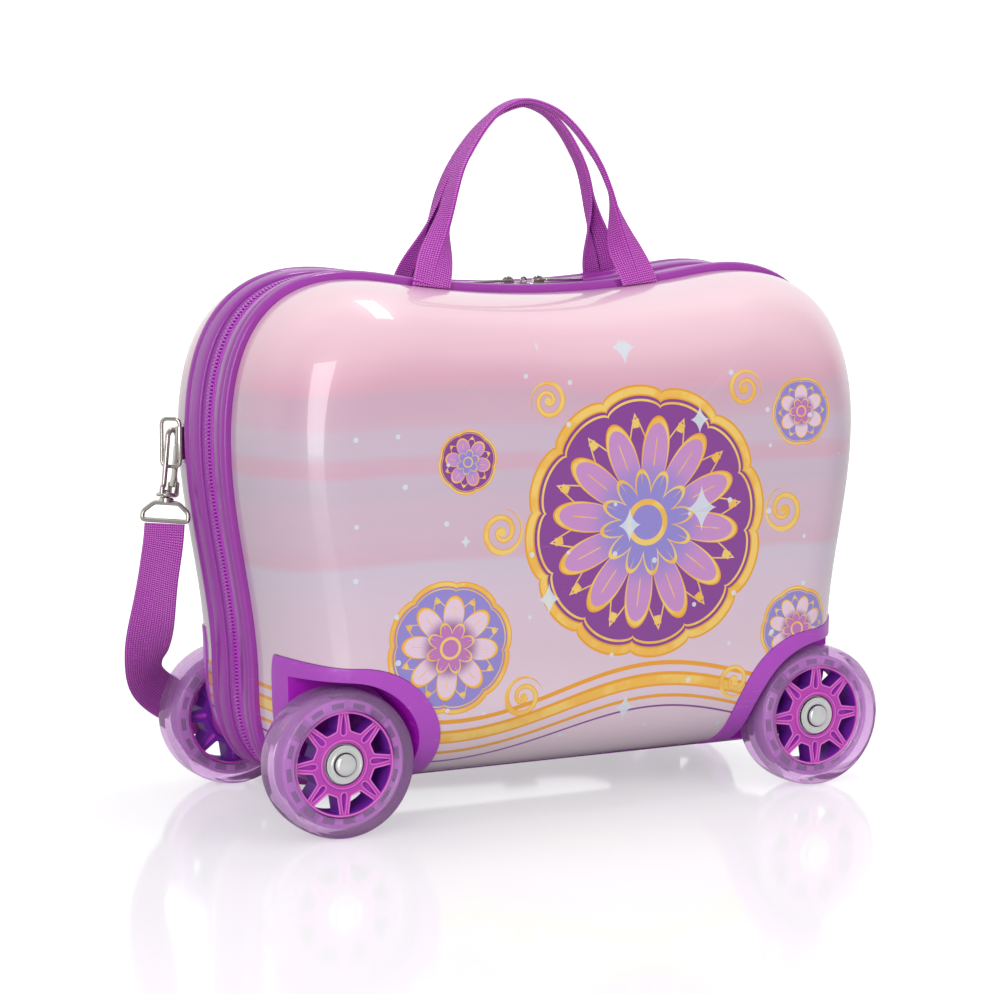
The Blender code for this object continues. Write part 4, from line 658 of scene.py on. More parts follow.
def rounded(points, radius, steps=4):
    """A polygon with its corners rounded: each corner gives way to a quadratic curve between its two sides."""
    p = np.asarray(points, float)
    before, after = np.roll(p, 1, 0) - p, np.roll(p, -1, 0) - p
    size = np.minimum(np.linalg.norm(before, axis=1), np.linalg.norm(after, axis=1))
    reach = np.minimum(radius, size * 0.48)[:, None]
    a, b = p + unit(before) * reach, p + unit(after) * reach
    s = np.linspace(0, 1, steps + 1)[None, :, None]
    curve = (1 - s) ** 2 * a[:, None] + 2 * s * (1 - s) * p[:, None] + s ** 2 * b[:, None]
    return curve.reshape(-1, p.shape[1])


def both_sides(half, middle=0.0):
    """A closed outline from its right half, given as (distance from the middle, height), beginning at the left."""
    half = np.asarray(half, float)
    return np.roll(np.concatenate([half, half[::-1] * (-1, 1)]), 1, axis=0) + (middle, 0)


def slab(name, plan, low, high, material, axis="y"):
    """A flat outline carried straight from low to high along an axis, as a closed block."""
    plan = np.asarray(plan, float)
    order = {"x": (2, 0, 1), "y": (0, 2, 1), "z": (0, 1, 2)}[axis]
    rings = [np.column_stack([plan, np.full(len(plan), level)])[:, order] for level in (low, high)]
    return tube(name, rings, material)


def block(name, low, high, material):
    """A box between two corners."""
    (x, y, z), (far_x, far_y, far_z) = low, high
    return slab(name, [(x, y), (far_x, y), (far_x, far_y), (x, far_y)], z, far_z, material, "z")


def rod(name, line, radius, material, sides=14, closed=False, flat=None):
    """A round wire along a line: rings of radius r in the plane across the line, carried without twist.

    The rings start square to the direction flat, or to the plane that the line lies in.
    """
    line = np.asarray(line, float)
    along = unit(np.roll(line, -1, 0) - np.roll(line, 1, 0) if closed else np.gradient(line, axis=0))
    normal = np.linalg.svd(line - line.mean(0))[2][2] if flat is None else np.asarray(flat, float)
    side = unit(np.cross(along, normal))
    up = np.cross(side, along)
    t = np.linspace(0, math.tau, sides, endpoint=False)[None, :, None]
    rings = line[:, None] + radius * (np.cos(t) * side[:, None] + np.sin(t) * up[:, None])
    return tube(name, rings, material, wrap=closed)


def bar(name, start, end, radius, material, sides, flat):
    """A straight round rod."""
    return rod(name, np.linspace(start, end, 3), radius, material, sides, flat=flat)


def apply_all(made):
    """Bakes a piece's modifiers into its mesh."""
    bpy.context.view_layer.update()
    mesh = bpy.data.meshes.new_from_object(made.evaluated_get(bpy.context.evaluated_depsgraph_get()))
    made.modifiers.clear()
    made.data = mesh
    return made


def carve(made, tool, operation="DIFFERENCE"):
    """A Boolean of another solid, applied at once, the tool removed. The new faces keep the tool's own finish."""
    step = made.modifiers.new("carve", "BOOLEAN")
    step.operation, step.solver, step.object, step.material_mode = operation, "EXACT", tool, "TRANSFER"
    apply_all(made)
    drop(tool)
    return made


def soften(made, width, segments=2, angle=32):
    """A small bevel on the sharp edges, applied."""
    step = made.modifiers.new("soften", "BEVEL")
    step.width, step.segments, step.limit_method = width, segments, "ANGLE"
    step.angle_limit = math.radians(angle)
    step.harden_normals = False
    apply_all(made)
    return crease(made, 50)


def join(name, *parts):
    """Several meshes as one piece, materials kept."""
    work = bmesh.new()
    materials = []
    for part in parts:
        shift = len(materials)
        materials += list(part.data.materials)
        count = len(work.faces)
        work.from_mesh(part.data)
        work.faces.ensure_lookup_table()
        for face in work.faces[count:]:
            face.material_index += shift
    mesh = bpy.data.meshes.new(name)
    work.to_mesh(mesh)
    work.free()
    for material in materials:
        mesh.materials.append(material)
    drop(*parts)
    return linked(name, mesh)


def turned_over(source, name, along_x=1, along_y=1):
    """A copy of a piece mirrored to another quarter of the case, its faces turned the right way again."""
    made = linked(name, source.data.copy())
    reshaped(made.data, lambda points: points * (along_x, along_y, 1))
    if along_x * along_y < 0:
        made.data.flip_normals()
    made.data.update()
    return made


def settle(made, body, finish, *nodes):
    """Rides a finished piece on its body in place of its CAD nodes."""
    if nodes:
        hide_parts(*nodes)
    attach(made, body)
    return made


# ---------------------------------------------------------------- the case's form

def cubic(a, b, c, d, steps):
    """Points of a cubic from a to d, the last one left out."""
    t = np.linspace(0, 1, steps, endpoint=False)[:, None]
    a, b, c, d = (np.array(p, float) for p in (a, b, c, d))
    return (1 - t) ** 3 * a + 3 * (1 - t) ** 2 * t * b + 3 * (1 - t) * t ** 2 * c + t ** 3 * d


def half_outline(side=0.0, top=0.0, belly=0.0, steps=(10, 7, 26, 12, 24, 14)):
    """The case's side outline from the saddle round one end to the belly: arc, four cubics and a straight."""
    # Insets draw the corner points in by their own shares and shorten the curves' handles, as fitted to the photo
    ease = 1 - 0.42 * max(side, top, belly) / CORNER_BELLY
    reach = math.asin(SADDLE_HALF / SADDLE_RADIUS)
    radius = SADDLE_RADIUS + top
    turn = np.linspace(0, reach, steps[0], endpoint=False)
    saddle = np.stack([radius * np.sin(turn), SADDLE_Z + SADDLE_RADIUS - radius * np.cos(turn)], 1)
    edge = np.array([radius * math.sin(reach), SADDLE_Z + SADDLE_RADIUS - radius * math.cos(reach)])
    shoulder = np.array([SHOULDER_X - 0.55 * side, SHOULDER_Z - top])
    widest = np.array([HALF_LENGTH - side, WIDEST_Z - 0.2 * top])
    waist = np.array([WAIST_HALF - side, WAIST_Z + 0.6 * belly])
    foot = np.array([FOOT_X - 0.75 * side, BELLY_Z + belly])
    slope = np.array([math.cos(reach), math.sin(reach)])
    rise = (shoulder[0] - edge[0]) * 0.35
    straight = np.linspace(0, 1, steps[5])[:, None]
    return np.concatenate([
        saddle,
        cubic(edge, edge + slope * rise, shoulder - (rise, 0), shoulder, steps[1]),
        cubic(shoulder, shoulder + (0.047 * ease, 0), widest + (0, 0.053 * ease), widest, steps[2]),
        cubic(widest, widest - (0, 0.046 * ease), waist + (0, 0.046 * ease), waist, steps[3]),
        cubic(waist, waist - (0, 0.038 * ease), foot + (0.023 * ease, 0), foot, steps[4]),
        foot * (1 - straight) + np.array([0, foot[1]]) * straight])


def outline(*insets):
    """The whole closed outline as (x, z) points."""
    half = half_outline(*insets)
    return np.concatenate([half, half[-2:0:-1] * (-1, 1)])


def outward(points):
    """Unit normals of a closed outline in its own plane."""
    along = unit(np.roll(points, -1, 0) - np.roll(points, 1, 0))
    return np.stack([-along[:, 1], along[:, 0]], 1)


OUTLINE = outline()
NORMALS = outward(OUTLINE)
FACE = outline(CORNER_SIDE, CORNER_TOP, CORNER_BELLY)
FACE_CENTRE = np.array([0.0, (FACE[:, 1].max() + FACE[:, 1].min()) / 2])


def skin_rings(inset, start, corner_steps=16, face_steps=9):
    """Rings of one half's skin at positive Y.

    The corner is a quarter ellipse: across = face + (edge - face) cos t, depth = start + depth sin t.
    The face rises from its edge by the crown, eased with 3 s^2 - 2 s^3, and is flat in the middle.
    """
    edge = OUTLINE - NORMALS * inset
    depth = HALF_DEPTH - inset - CORNER_START
    rings = [np.insert(edge, 1, y, axis=1) for y in np.linspace(start, CORNER_START, 3)[:-1]]
    for turn in np.linspace(0, math.pi / 2, corner_steps + 1):
        flat = FACE + (edge - FACE) * math.cos(turn)
        rings.append(np.insert(flat, 1, CORNER_START + depth * math.sin(turn), axis=1))
    for share in np.linspace(1, 0, face_steps + 1)[1:]:
        s = np.clip((1 - share) / (1 - FACE_FLAT), 0, 1)
        flat = FACE_CENTRE + (FACE - FACE_CENTRE) * max(share, 0.002)
        rings.append(np.insert(flat, 1, CORNER_START + depth + FACE_CROWN * eased(s), axis=1))
    return np.array(rings)


def skin(name, inset, start, material, closed):
    """One half's skin as an open sheet, or as a closed block with a flat back."""
    rings = skin_rings(inset, start)
    rows, columns = rings.shape[:2]
    faces = [tuple(f) for f in grid_faces(rows, columns)]
    faces.append(tuple(range((rows - 1) * columns, rows * columns)))
    if closed:
        faces.append(tuple(range(columns)))
    made = mesh_of(name, rings, faces, material)
    if closed:
        return face_out(made)
    if made.data.polygons[0].normal.z < 0:
        made.data.flip_normals()
    return made


def lip_outline(grow):
    """The housing's side outline: an arc about the wheel, then an easy rise to the end of the case."""
    radius = LIP_RADIUS + grow
    t = np.linspace(0, math.pi / 2, 28)
    arc = np.stack([LIP_CENTRE_X - radius * np.cos(t), LIP_CENTRE_Z + radius * np.sin(t)], 1)
    end_x, end_z = HALF_LENGTH + 0.02, LIP_END_Z + grow
    rise_end = (LIP_CENTRE_X + 0.036, end_z)
    rise = cubic(arc[-1], arc[-1] + (0.012, 0.0), (LIP_CENTRE_X + 0.022, end_z - 0.0030), rise_end, 12)[1:]
    return np.concatenate([[(LIP_CENTRE_X - radius, -0.01)], arc, rise,
                           [rise_end, (end_x, end_z + 0.002), (end_x, -0.01)]])


def envelope(name, grow, material):
    """The room a housing takes in the back right quarter: side outline and end view intersected."""
    made = slab(name, lip_outline(grow), HOUSING_INNER_Y - 0.005, HALF_DEPTH + 0.015, material, "y")
    inner, top = HOUSING_EDGE_Y - grow, LIP_END_Z + 0.002 + grow
    t = np.linspace(0, math.pi / 2, 10)
    arc = np.stack([inner + (0.008 + grow) * (1 - np.cos(t)), top - (0.016 + grow) * (1 - np.sin(t))], 1)
    outer = HALF_DEPTH + 0.02
    view = np.concatenate([[(inner, -0.02)], arc, [(outer, top), (outer, -0.02)]])
    return carve(made, slab(name + "_end", view, LIP_CENTRE_X - LIP_RADIUS - 0.01, HALF_LENGTH + 0.03, material, "x"),
                 "INTERSECT")


def thickened(made, thickness):
    """Gives an open sheet its wall, inwards."""
    wall = made.modifiers.new("wall", "SOLIDIFY")
    wall.thickness, wall.offset = thickness, -1
    return apply_all(made)


def notched(made, grow):
    """Cuts the two lower corners of a half's skin out for the housings."""
    notch = envelope("notch", grow, made.data.materials[0])
    other = turned_over(notch, "notch_left", -1)
    carve(made, notch)
    return carve(made, other)


def shells():
    """The two printed half shells with their wall."""
    made = skin("shell_back", 0.0, RIM_EDGE + GAP, FILM, False)
    thickened(made, SHELL_WALL)
    notched(made, GAP)
    crease(made, 40)
    other = turned_over(made, "shell_front", 1, -1)
    settle(made, "case_back", "printed_shell", "back_shell")
    settle(other, "lid", "printed_shell", "front_shell")


def linings():
    """The cloth lining, laid on the shell inside with slow wrinkles along its depth."""
    made = skin("lining_back", LINING_INSET, RIM_EDGE + RIM_TONGUE + GAP, LINING, False)

    def wrinkled(p):
        """Moves points in depth by 0.5 mm sin(190 x + sin(60 z)) sin(140 z) - 0.5 mm."""
        p[:, 1] += 0.0005 * np.sin(p[:, 0] * 190 + np.sin(p[:, 2] * 60)) * np.sin(p[:, 2] * 140) - 0.0005
        return p
    reshaped(made.data, wrinkled)
    thickened(made, LINING_WALL)
    notched(made, 2 * GAP)
    crease(made, 60)
    other = turned_over(made, "lining_front", 1, -1)
    settle(made, "case_back", "lining_cloth", "back_lining")
    settle(other, "lid", "lining_cloth", "front_lining")
    areas = np.empty(len(made.data.polygons))
    made.data.polygons.foreach_get("area", areas)


def swept(name, profile, material, rows, wrap=True, mapped=False):
    """One profile of (depth, height), or one for each station, stood on the outline's stations and skinned.

    A mapped one has a UV: U is the run along the outline and V the depth, in metres.
    """
    profile = np.asarray(profile, float)
    base, normal = OUTLINE[rows], NORMALS[rows]
    if profile.ndim == 2:
        profile = np.broadcast_to(profile, (len(rows),) + profile.shape)
    h = profile[..., 1]
    rings = np.stack([base[:, None, 0] + normal[:, None, 0] * h, profile[..., 0],
                      base[:, None, 1] + normal[:, None, 1] * h], -1)
    uv = np.stack([np.broadcast_to(run_along(base)[:, None], h.shape), profile[..., 0]], -1) if mapped else None
    return tube(name, rings, material, wrap=wrap, uv=uv)


def rim_profile(lip):
    """The rim's section in metres: tongue, round bead by the shell, shallow flank, rounded lip over the tape."""
    under = -SHELL_WALL - GAP
    deep = under - RIM_WALL
    t = np.linspace(0, math.pi, 12)
    bead = np.stack([0.0257 + 0.0034 * np.cos(t), 0.0022 + 0.0024 * np.sin(t)], 1)
    flank = cubic((0.0221, 0.0026), (0.0212, 0.0036), (0.0196, 0.0040), (0.0180, 0.0039), 6)
    fall = cubic((0.0180, 0.0039), (lip + 0.0042, 0.0036), (lip, 0.0034), (lip, 0.0012), 10)
    return np.concatenate([[(RIM_EDGE + RIM_TONGUE, deep), (RIM_EDGE + RIM_TONGUE, under), (RIM_EDGE, under),
                            (RIM_EDGE, 0.0008)], bead, flank, fall,
                           [(lip, LIP_UNDER), (TAPE_REACH + GAP, LIP_UNDER), (TAPE_REACH + GAP, deep)]])


def rims():
    """The two moulded rims: the lip comes in to the seam along the belly, where there is no zip."""
    on_belly = (OUTLINE[:, 1] < BELLY_Z + 0.0002) & (np.abs(OUTLINE[:, 0]) < FOOT_X - 0.006)
    profiles = np.array([rim_profile(SEAM_GAP if low else RIM_LIP) for low in on_belly])
    half, step = KNUCKLE_LENGTH / 2, KNUCKLE_LENGTH + GAP
    middle = [(s * HINGE_X - half, s * HINGE_X + half) for s in (-1, 1)]
    outer = [(low + t * step, high + t * step) for low, high in middle for t in (-1, 1)]
    for name, body, node, spans in (("rim_back", "case_back", "back_rim", middle),
                                    ("rim_front", "lid", "front_rim", outer)):
        made = swept(name, profiles, RIM, np.arange(len(OUTLINE)))
        for number, (low, high) in enumerate(spans):
            barrel = bar(f"knuckle_{number}", (low, 0, HINGE_Z), (high, 0, HINGE_Z), KNUCKLE_RADIUS, RIM, 24, (0, 1, 0))
            leaf = block(f"leaf_{number}", (low, KNUCKLE_RADIUS * 0.3, HINGE_Z + KNUCKLE_RADIUS * 0.2),
                         (high, KNUCKLE_RADIUS + 0.005, BELLY_Z - 0.0028), RIM)
            carve(made, barrel, "UNION")
            carve(made, leaf, "UNION")
        reach = HINGE_X + 0.04
        carve(made, bar("pin_bore", (-reach, 0, HINGE_Z), (reach, 0, HINGE_Z), 0.002, RIM, 16, (0, 1, 0)))
        crease(made, 40)
        if body == "lid":
            pattern, made = made, turned_over(made, name + "_moulding", 1, -1)
            drop(pattern)
        settle(made, body, "rim_plastic", node)
    for side, sign in (("left", -1), ("right", 1)):
        reach = KNUCKLE_LENGTH * 1.5 + 2 * GAP
        pin = bar("hinge_rod_" + side, (sign * HINGE_X - reach, 0, HINGE_Z), (sign * HINGE_X + reach, 0, HINGE_Z),
                  0.0014, STEEL, 20, (0, 1, 0))
        settle(crease(pin), "case_back", "bearing_steel", "hinge_pin_" + side)


def zip_route():
    """The outline's stations that the zip follows, from one foot over the top to the other."""
    foot = int(np.argmax(OUTLINE[:, 1] < BELLY_Z + 0.00001))
    count = len(OUTLINE)
    return np.concatenate([np.arange(count - foot, count), np.arange(foot + 1)])


def along_zip(pitch, shift):
    """Evenly spaced places on the zip's line: point, outward normal and travel direction, as arrays."""
    rows = zip_route()
    run = run_along(OUTLINE[rows])
    at = np.arange(ZIP_END + shift, run[-1] - ZIP_END, pitch)
    out = unit(read_at(at, run, NORMALS[rows]))
    return read_at(at, run, OUTLINE[rows]), out, np.stack([out[:, 1], -out[:, 0]], 1)


def zip_halves():
    """Tape with a corded edge, and a moulded tooth every 2 mm that reaches just past the middle."""
    rows = zip_route()
    half = 0.0006
    across, up = circle(10)
    cord_edge = np.stack([0.0036 - 0.0016 * across, 0.0001 + 0.0012 * up], 1)
    tape = np.array([(0.0050, -half), (0.0050, half), (0.0072, half * 1.15), (0.0076, half * 0.7),
                     (0.0080, half * 1.15), (TAPE_REACH, half), (TAPE_REACH, -half)])
    tooth = rounded([(-0.0006, -0.00052), (-0.0006, 0.00052), (0.0030, 0.00060), (0.0044, 0.00045),
                     (0.0044, -0.00045), (0.0030, -0.00060)], 0.0003, 1)
    levels = ((-0.0013, 0.75), (-0.0010, 1.0), (0.0015, 1.0), (0.0019, 0.72))
    for name, body, node, side, shift in (("back", "case_back", "zip_half_back", 1, 0.0),
                                          ("front", "lid", "zip_half_front", -1, TOOTH_PITCH / 2)):
        strip = swept("zip_tape_" + name, tape * (side, 1), TAPE, rows, wrap=False, mapped=True)
        bead = swept("zip_cord_" + name, cord_edge * (side, 1), TEETH, rows, wrap=False)
        settle(crease(strip, 50), body, "zip_tape", node)
        settle(bead, body, "zip_tape", node)
        spot, out, travel = along_zip(TOOTH_PITCH, shift)
        ring = np.array([[(a * scale if a > 0 else a, b * scale, h) for a, b in tooth] for h, scale in levels])
        local = ring.reshape(-1, 3)
        depth, run, lift = local[:, 0] * side, local[:, 1], local[:, 2]
        x = spot[:, 0, None] + travel[:, 0, None] * run + out[:, 0, None] * lift
        z = spot[:, 1, None] + travel[:, 1, None] * run + out[:, 1, None] * lift
        points = np.stack([x, np.broadcast_to(depth, x.shape), z], -1)
        columns, layers = len(tooth), len(levels)
        one = [tuple(f) for f in grid_faces(layers, columns)]
        one += [tuple(range(columns))[::-1], tuple(range((layers - 1) * columns, layers * columns))]
        faces = [tuple(i + n * len(local) for i in f) for n in range(len(spot)) for f in one]
        teeth = mesh_of("zip_teeth_" + name, points, faces, TEETH)
        if side < 0:
            teeth.data.flip_normals()
        settle(crease(teeth, 45), body, "zip_tape", node)


def on_saddle(x, height):
    """A point over the saddle at a height above the surface, and the slope there."""
    turn = math.asin(x / SADDLE_RADIUS)
    radius = SADDLE_RADIUS - height
    return Vector((radius * math.sin(turn), 0, SADDLE_Z + SADDLE_RADIUS - radius * math.cos(turn))), turn


def slider_body(sign):
    """A slider about its own middle: waisted upper and lower plates, neck, bridge and lug; the left has an eyelet."""
    c, s = circle(40)
    plan = np.stack([-sign * SLIDER_HALF * np.sign(c) * np.abs(c) ** 0.8,
                     SLIDER_HALF_WIDTH * np.sign(s) * np.abs(s) ** 0.8 * (1 - 0.14 * c)], 1)
    top = COIL_TOP + GAP
    upper = soften(slab("slider_upper", plan, top, top + SLIDER_PLATE, NICKEL, "z"), 0.0004)
    lower = soften(slab("slider_lower", plan * 0.96, SLIDER_LOW, SLIDER_LOW + SLIDER_PLATE, NICKEL, "z"), 0.0003)
    neck = block("slider_neck", (-0.0035, -0.00025, -0.0024), (0.0035, 0.00025, top + 0.0007), NICKEL)
    span = np.linspace(0, math.pi, 15)
    arch = np.stack([-0.0030 * np.cos(span), 0 * span, top + 0.0014 + 0.0030 * np.sin(span) ** 0.8], 1)
    bridge = rod("slider_bridge", arch, 0.00105, NICKEL, 12, flat=(0, 1, 0))
    lug = soften(block("slider_lug", (-0.0026, -0.00105, top + 0.0009), (0.0026, 0.00105, top + 0.0040), NICKEL),
                 0.0003)
    parts = [upper, lower, neck, bridge, lug]
    if sign < 0:
        c, s = circle(28)
        ring = np.stack([0.0098 + 0.0017 * c, 0 * c, top + 0.0030 + 0.0017 * s], 1)
        parts.append(rod("lock_eyelet", ring, 0.00062, NICKEL, 12, closed=True, flat=(0, 1, 0)))
        parts.append(soften(block("eyelet_foot", (0.0055, -0.0006, top + 0.0008), (0.0094, 0.0006, top + 0.0020),
                                  NICKEL), 0.0002))
    return join("slider", *parts)


def pull_tab():
    """A pull that points along X from its bar: tab with a hole and a sunk panel, bar and two ears."""
    half, length, width = PULL_HALF, PULL_LENGTH, PULL_HALF_WIDTH
    tab = rounded([(0.0036, -width), (length - 0.001, -width * 0.86), (length, -width * 0.4),
                   (length, width * 0.4), (length - 0.001, width * 0.86), (0.0036, width)], 0.0014, 4)
    pull = slab("pull_tab", tab, -half, half, NICKEL, "z")
    hole = rounded([(length - 0.0055, -0.0013), (length - 0.0022, -0.0013), (length - 0.0022, 0.0013),
                    (length - 0.0055, 0.0013)], 0.0012, 4)
    carve(pull, slab("pull_hole", hole, -0.003, 0.003, NICKEL, "z"))
    soften(pull, 0.00025)
    panel = rounded([(0.0065, -0.0021), (0.0205, -0.0020), (0.0205, 0.0020), (0.0065, 0.0021)], 0.0008, 3)
    inlay = slab("pull_panel", panel, half - 0.0001, half + 0.00015, STEEL, "z")
    ears = [soften(block("pull_ear", (-0.0009, min(s * 0.0014, s * 0.0027), -half * 0.9),
                         (0.0046, max(s * 0.0014, s * 0.0027), half * 0.9), NICKEL), 0.0002) for s in (-1, 1)]
    axle = bar("pull_bar", (0, -0.0021, 0), (0, 0.0021, 0), 0.0005, NICKEL, 12, (0, 0, 1))
    return join("pull", pull, inlay, axle, *ears)


def zip_sliders():
    """Two sliders nose to nose on the saddle, their pulls resting on the zip."""
    for side, sign in (("left", -1), ("right", 1)):
        made = slider_body(sign)
        place, turn = on_saddle(SLIDER_X[side], 0)
        made.name = "slider_" + side + "_body"
        made.data.transform(Matrix.Translation(place) @ Matrix.Rotation(-turn, 4, "Y"))
        settle(crease(made, 40), "slider_" + side, "bright_metal", "zip_slider_" + side)
        made = pull_tab()
        made.name = "pull_" + side + "_tab"
        eye = COIL_TOP + GAP + PULL_EYE
        place, turn = on_saddle(SLIDER_X[side], eye)
        droop = math.atan2(eye - COIL_TOP - GAP - PULL_HALF - 0.0004, PULL_LENGTH) - sign * turn
        matrix = Matrix.Rotation(droop - PULL_LENGTH / (2 * SADDLE_RADIUS), 4, "Y")
        if sign < 0:
            matrix = Matrix.Rotation(math.pi, 4, "Z") @ matrix
        made.data.transform(Matrix.Translation(place) @ matrix)
        settle(crease(made, 40), "pull_" + side, "bright_metal", "zip_pull_" + side)


# ---------------------------------------------------------------- housings and wheels

def quarters():
    """The four corners of the case: name, and the signs of X and Y."""
    return [(f"{depth}_{end}", sx, sy) for depth, sy in (("front", -1), ("back", 1))
            for end, sx in (("left", -1), ("right", 1))]


def body_of_half(place):
    """The body that a corner's fixed pieces ride on."""
    return "lid" if place.startswith("front") else "case_back"


def housings():
    """Four wheel housings: the case's own outer form within the lip's outline, less the wheel well."""
    made = skin("housing", -LIP_PROUD, CORNER_START - 0.001, HOUSING, True)
    carve(made, envelope("room", 0.0, HOUSING), "INTERSECT")
    radius = WHEEL_RADIUS + ARCH_CLEARANCE
    t = np.linspace(0, math.pi / 2, 32)
    arc = np.stack([WHEEL_X - radius * np.cos(t), WHEEL_RADIUS + radius * np.sin(t)], 1)
    end_x = HALF_LENGTH + 0.03
    opening = np.concatenate([[(WHEEL_X - radius, -0.02)], arc,
                              [(WHEEL_X + 0.012, arc[-1, 1] + 0.0006), (end_x, arc[-1, 1] + 0.004), (end_x, -0.02)]])
    # The well, pocket, boss and bolt hole take the deeper well purple: painted shade inside the housing.
    well = slab("well", opening, PLATE_Y, HALF_DEPTH + 0.02, WELL_SHADE, "y")
    carve(made, well)
    pocket = skin("pocket", HOUSING_WALL, CORNER_START - 0.001, WELL_SHADE, True)
    carve(pocket, slab("pocket_side", lip_outline(-HOUSING_WALL), HOUSING_INNER_Y - 0.001, PLATE_Y - PLATE_WALL, WELL_SHADE,
                       "y"), "INTERSECT")
    carve(made, pocket)
    carve(made, bar("boss", (WHEEL_X, PLATE_Y - PLATE_WALL - BOSS_LENGTH, WHEEL_RADIUS),
                    (WHEEL_X, PLATE_Y - PLATE_WALL / 2, WHEEL_RADIUS), BOSS_RADIUS, WELL_SHADE, 40, (1, 0, 0)), "UNION")
    carve(made, bar("hole", (WHEEL_X, 0.03, WHEEL_RADIUS), (WHEEL_X, PLATE_Y + 0.01, WHEEL_RADIUS),
                    BOLT_RADIUS + GAP, WELL_SHADE, 32, (1, 0, 0)))
    soften(made, 0.0007, 3, 40)
    for place, sx, sy in quarters():
        piece = turned_over(made, "housing_" + place + "_moulding", sx, sy)
        settle(piece, body_of_half(place), "housing_plastic", "housing_" + place)
    drop(made)


def tyre_section():
    """The tyre's section: round tread from a super-ellipse, a fine step on the flank, groove for the light ring."""
    bore, step, w = HUB_RADIUS + GAP, TYRE_STEP_RADIUS, WHEEL_HALF_WIDTH
    t = np.linspace(0, math.pi / 2, 14)
    tread = np.stack([step + (WHEEL_RADIUS - step) * np.sin(t) ** 0.9, (w - 0.0011) * np.cos(t) ** 0.62], 1)
    flank = cubic((bore, w * 0.80), (bore + 0.0006, w * 0.93), (bore + 0.0020, w), (step - 0.0026, w), 7)
    brink = cubic((step - 0.0026, w), (step - 0.0012, w), (step - 0.0004, w - 0.0002), (step - 0.0002, w - 0.0006), 4)
    outer = np.concatenate([flank, brink, tread])
    groove_r, groove_w = LIGHT_RADIUS + GAP, LIGHT_HALF_WIDTH + GAP
    inner = [(bore, -groove_w), (groove_r, -groove_w), (groove_r, groove_w), (bore, groove_w)]
    return np.concatenate([outer, (outer * (1, -1))[-2::-1], inner])


def arc_pad(name, radius, half_thick, angle, half_angle, low, high, material):
    """A curved pad between two radii and two angles, its corners rounded, from low to high along Y.

    The flat outline is cut up along its run before it is bent, so that its long edges follow the arc.
    """
    plan = rounded([(-half_angle * radius, -half_thick), (half_angle * radius, -half_thick),
                    (half_angle * radius, half_thick), (-half_angle * radius, half_thick)], 0.0006, 3)
    closed = np.vstack([plan, plan[:1]])
    run = run_along(closed)
    at = np.union1d(run, np.arange(0, run[-1], 0.0014))
    at = at[np.concatenate([[True], np.diff(at) > 0.00002])][:-1]
    plan = read_at(at, run, closed)
    turn = angle + plan[:, 0] / radius
    r = radius + plan[:, 1]
    return slab(name, np.stack([r * np.cos(turn), r * np.sin(turn)], 1), low, high, material, "y")


def light_rings():
    """The light core: a clear ring with sixteen smoked windows, and four frosted plates, each framing three of them."""
    bore = HUB_RADIUS + GAP
    w = LIGHT_HALF_WIDTH
    parts = [revolve("core", rounded([(bore, w - 0.0012), (LIGHT_RADIUS, w - 0.0012), (LIGHT_RADIUS, -w + 0.0012),
                                      (bore, -w + 0.0012)], 0.0003, 2), CORE_CLEAR, 96)]
    pitch = math.tau / WINDOWS
    # The frames' bars: where each stands from the frame's middle, and its half angle
    between, end = pitch / 2 - WINDOW_TURN, FRAME_TURN - FRAME_END
    bars = ((-FRAME_END, end), (-pitch / 2, between), (pitch / 2, between), (FRAME_END, end))
    for face in (1, -1):
        low, high = sorted((face * (w - 0.0014), face * (w - 0.0003)))
        frame_low, frame_high = sorted((face * (w - 0.0014), face * w))
        for k in range(WINDOWS):
            parts.append(arc_pad("window", WINDOW_RADIUS, 0.0015, k * pitch + CORE_START, WINDOW_TURN, low, high,
                                 WINDOW))
        for k in range(FRAMES):
            middle = math.tau / FRAMES * k + CORE_START
            for edge_radius, half in FRAME_EDGES:
                parts.append(arc_pad("plate", edge_radius, half, middle, FRAME_TURN, frame_low, frame_high, CORE))
            for centre, half in bars:
                parts.append(arc_pad("bar", WINDOW_RADIUS, 0.0016, middle + centre, half, frame_low, frame_high, CORE))
    return crease(join("light_core", *parts), 40)


